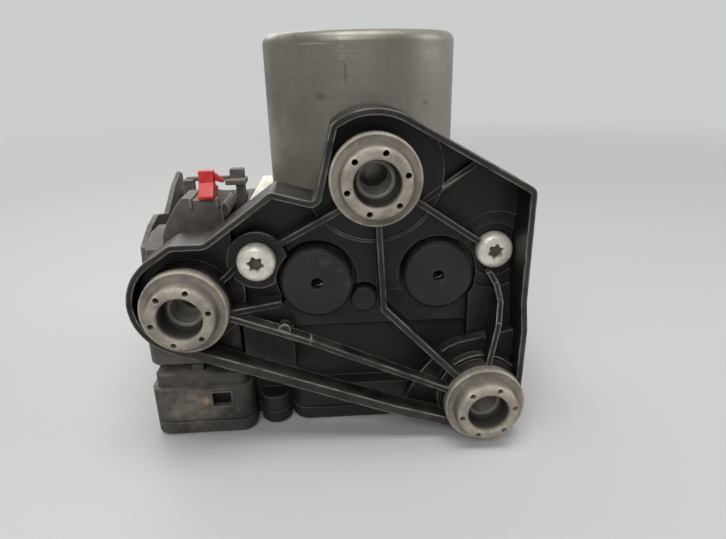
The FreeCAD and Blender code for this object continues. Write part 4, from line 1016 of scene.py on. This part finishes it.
def coilTree():
    # Wire wound along an axis, straight or as a cone; used for springs and for threads
    tree, given = startTree("woundWire", {
        "Turns": 5.0, "Start Radius": 0.003, "End Radius": 0.006, "Length": 0.02, "Wire": 0.0005, "Sides": 8,
        "Turn": 0.0, "Place": (0.0, 0.0, 0.0),
    })
    path = addNode(tree, "GeometryNodeCurveSpiral", {
        "Resolution": 28, "Rotations": given["Turns"], "Start Radius": given["Start Radius"],
        "End Radius": given["End Radius"], "Height": given["Length"],
    })
    section = addNode(tree, "GeometryNodeCurvePrimitiveCircle", {
        "Resolution": given["Sides"], "Radius": given["Wire"],
    })
    wound = addNode(tree, "GeometryNodeCurveToMesh", {
        "Curve": path.outputs[0], "Profile Curve": section.outputs[0], "Fill Caps": True,
    })
    return endTree(tree, wound.outputs[0], given)


trees = {"pegRing": pegRingTree(), "lobedPeg": lobedPegTree(), "woundWire": coilTree()}


def grow(key, name, finish, **values):
    # A piece made by one of the trees, with its modifier turned into the mesh
    piece = newPiece(name, bpy.data.meshes.new(name))
    maker = piece.modifiers.new(key, "NODES")
    maker.node_group = trees[key]
    values["material"] = finish
    for item in trees[key].interface.items_tree:
        short = item.name[0].lower() + item.name[1:].replace(" ", "")
        if item.in_out == "INPUT" and short in values:
            maker[item.identifier] = values[short]
    settle(piece)
    return piece


def carve(piece, cutter):
    # Cuts the cutter's shape out of the piece and takes the cutter away
    cut = piece.modifiers.new("cut", "BOOLEAN")
    cut.operation = "DIFFERENCE"
    cut.solver = "EXACT"
    cut.object = cutter
    settle(piece)
    bpy.data.objects.remove(cutter)


def lathe(name, profile, steps=96):
    # Piece turned about Y from (radius, y, shadow) rows, in mm; an open profile is closed end to end
    work = bmesh.new()
    shadow = work.verts.layers.float.new("shadow")
    rings = []
    for radius, y, dark in profile:
        ring = []
        for i in range(steps if radius > 1e-9 else 1):
            a = 2 * math.pi * i / steps
            vert = work.verts.new((radius * mm * math.cos(a), y * mm, radius * mm * math.sin(a)))
            vert[shadow] = dark
            ring.append(vert)
        rings.append(ring)
    pairs = list(zip(rings, rings[1:]))
    if len(rings[0]) > 1 and len(rings[-1]) > 1:
        pairs.append((rings[-1], rings[0]))
    for first, second in pairs:
        for i in range(steps):
            j = (i + 1) % steps
            corners = [row[k % len(row)] for row, k in ((first, i), (first, j), (second, j), (second, i))]
            corners = [vert for k, vert in enumerate(corners) if vert not in corners[:k]]
            if len(corners) > 2:
                work.faces.new(corners)
    bmesh.ops.recalc_face_normals(work, faces=work.faces)
    return pieceFrom(work, name)


def moveTo(piece, x, y, z):
    piece.data.transform(Matrix.Translation((x * mm, y * mm, z * mm)))


def joinPieces(name, pieces):
    work = bmesh.new()
    for piece in pieces:
        work.from_mesh(piece.data)
        bpy.data.objects.remove(piece)
    return pieceFrom(work, name)


# Bushes: radius, distance behind the front face, how much painted shade darkens the surface in the bore and
# the grooves
bush = {
    "profile": (
        (6.20, 19.55, 1.0), (6.20, 7.70, 1.0), (6.70, 7.60, 1.0), (6.70, 2.2, 0.92), (6.72, 1.1, 0.55),
        (6.85, 0.45, 0.15), (7.20, 0.10, 0.0), (7.70, 0.0, 0.0), (8.60, 0.0, 0.0), (9.30, 0.05, 0.0),
        (9.80, 0.30, 0.0), (10.12, 0.80, 0.0), (10.24, 1.60, 0.25), (10.30, 2.80, 0.50), (10.42, 4.20, 0.68),
        (10.65, 4.95, 0.72), (10.95, 5.22, 0.50), (11.40, 5.28, 0.30), (12.20, 5.28, 0.26),
        (12.62, 5.20, 0.22), (12.80, 4.98, 0.04), (13.00, 4.90, 0.0), (13.25, 4.95, 0.0),
        (13.42, 5.25, 0.05), (13.50, 5.80, 0.3), (13.52, 7.20, 0.6), (13.40, 7.55, 0.8), (9.40, 7.60, 0.8),
        (9.40, 12.10, 0.6), (11.90, 12.15, 0.6), (11.90, 14.60, 0.2), (9.60, 19.40, 0.2),
        (9.20, 19.60, 0.1), (6.50, 19.60, 0.3),
    ),
    "holes": 6, "holeCircle": 8.8, "holeRadius": 0.92, "holeDepth": 5.5, "holeRounding": 0.16,
    "front": -58.6,
    # Sleeve rows: radius, distance behind the front face, painted shade in the bore
    "sleeve": (
        (4.50, 8.20, 0.65), (4.62, 7.85, 0.75), (4.90, 7.64, 0.72), (5.80, 7.62, 0.80), (6.12, 7.90, 0.9),
        (6.15, 8.30, 0.95), (6.15, 19.30, 0.9), (5.90, 19.60, 0.3), (4.80, 19.60, 0.2), (4.50, 19.30, 0.1),
    ),
    # side: (x, z, turn of the first hole in degrees)
    "places": {"upper": (1.6, 91.3, 74.5), "left": (-57.5, 52.8, 71.6), "right": (37.4, 14.2, 69.3)},
}


def makeBush(side):
    x, z, turn = bush["places"][side]
    node = side + "_bush"
    piece = lathe("moulded_" + node, bush["profile"])
    carve(piece, grow("pegRing", "holePegs", None, count=bush["holes"], circle=bush["holeCircle"] * mm,
                      pegRadius=bush["holeRadius"] * mm, pegLength=bush["holeDepth"] * 2 * mm,
                      turn=math.radians(-turn)))
    roundEdges(piece, bush["holeRounding"], 60.0)
    moveTo(piece, x, bush["front"], z)
    shade(piece, finishes["bush_rubber"], 50.0)
    seat(piece, slotOf[node], bodyOf[node], node)

    node = side + "_bush_sleeve"
    piece = lathe("steel_" + node, bush["sleeve"], 64)
    moveTo(piece, x, bush["front"], z)
    shade(piece, finishes["zinc_steel"], 50.0)
    seat(piece, slotOf[node], bodyOf[node], node)


for side in bush["places"]:
    makeBush(side)
print("bushes made:", len(bush["places"]))


def makeBolts():
    heads = []
    lead = 1.0        # how far the peg stands out in front, in mm
    for x, z, top, turn in bolt["places"]:
        piece = lathe("bracket_bolt", [(radius, y, 0.0) for radius, y in bolt["profile"]], 80)
        carve(piece, grow("lobedPeg", "recessPeg", None, lobes=bolt["lobes"],
                          middleRadius=bolt["recessRadius"] * mm, wave=bolt["recessWave"],
                          depth=(bolt["recessDepth"] + lead) * mm, turn=math.radians(turn),
                          place=(0.0, -lead * mm, 0.0)))
        roundEdges(piece, bolt["recessRounding"], 45.0)
        moveTo(piece, x, top, z)
        heads.append(piece)
    joined = joinPieces("bracket_bolt_pair", heads)
    shade(joined, finishes["zinc_steel"], 40.0)
    seat(joined, slotOf["bracket_bolts"], bodyOf["bracket_bolts"], "bracket_bolts")


makeBolts()
print("bracket bolts made")


# Springs of the pressure stores: cones of wire between the cap and the piston
spring = {
    "wire": 0.55, "turns": 6.0, "narrow": 2.5, "wide": 6.3, "z": 56.8,
    # side: (x, front y, back y, share of its length that stays at full travel)
    "places": {"left": (-17.1, -41.3, -14.6, 0.712), "right": (22.7, -38.8, -14.6, 0.684)},
}

for side, (x, front, back, share) in spring["places"].items():
    node = side + "_accumulator_spring"
    piece = grow("woundWire", side + "_store_spring", finishes["bright_steel"], turns=spring["turns"],
                 startRadius=spring["narrow"] * mm, endRadius=spring["wide"] * mm, length=(back - front) * mm,
                 wire=spring["wire"] * mm, sides=8, place=(x * mm, front * mm, spring["z"] * mm))
    shade(piece, finishes["bright_steel"], 60.0)
    seat(piece, slotOf[node], bodyOf[node], node)
    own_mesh(piece)
print("springs wound")


# Thread ridges in the ports of the rear face
thread = {
    "pitch": 1.0, "ridge": 0.34, "sides": 4, "back": 43.2, "reach": 10.0,
    "outlets": {"radius": 4.5, "z": 64.0, "columns": (-31.0, -9.0, 13.0, 35.0)},
    "inlets": {"radius": 5.5, "z": 47.5, "columns": (-20.0, 24.0)},
}

ridges = []
for key in ("outlets", "inlets"):
    port = thread[key]
    radius = port["radius"] * mm
    for x in port["columns"]:
        place = (x * mm, (thread["back"] - thread["reach"]) * mm, port["z"] * mm)
        ridges.append(grow("woundWire", "portThread", finishes["black_aluminium"], startRadius=radius,
                           endRadius=radius, turns=thread["reach"] / thread["pitch"],
                           length=thread["reach"] * mm, wire=thread["ridge"] * mm, sides=thread["sides"],
                           place=place))
ridges = joinPieces("port_threads", ridges)
shade(ridges, finishes["black_aluminium"], 30.0)
seat(ridges, slotOf["hydraulic_block"], bodyOf["hydraulic_block"])
print("port threads wound")


# Raised frame round the window of the plug's lobe
frameBar = {
    "x": (-56.0, -48.2), "z": (10.9, 17.6), "bar": 0.75, "front": -42.3, "back": -41.7, "rounding": 0.16,
}


def makeWindowFrame():
    work = bmesh.new()
    rows = []
    for key, inset in (("back", 0.0), ("front", 0.0), ("front", frameBar["bar"]), ("back", frameBar["bar"])):
        left, right = frameBar["x"][0] + inset, frameBar["x"][1] - inset
        low, high = frameBar["z"][0] + inset, frameBar["z"][1] - inset
        loop = ((left, low), (right, low), (right, high), (left, high))
        rows.append([work.verts.new((x * mm, frameBar[key] * mm, z * mm)) for x, z in loop])
    for first, second in zip(rows, rows[1:] + rows[:1]):
        for i in range(4):
            j = (i + 1) % 4
            work.faces.new((first[i], first[j], second[j], second[i]))
    bmesh.ops.recalc_face_normals(work, faces=work.faces)
    piece = pieceFrom(work, "window_frame")
    roundEdges(piece, frameBar["rounding"])
    shade(piece, finishes["unit_plastic"])
    seat(piece, slotOf["control_unit_housing"], bodyOf["control_unit_housing"])


makeWindowFrame()
print("window frame made")
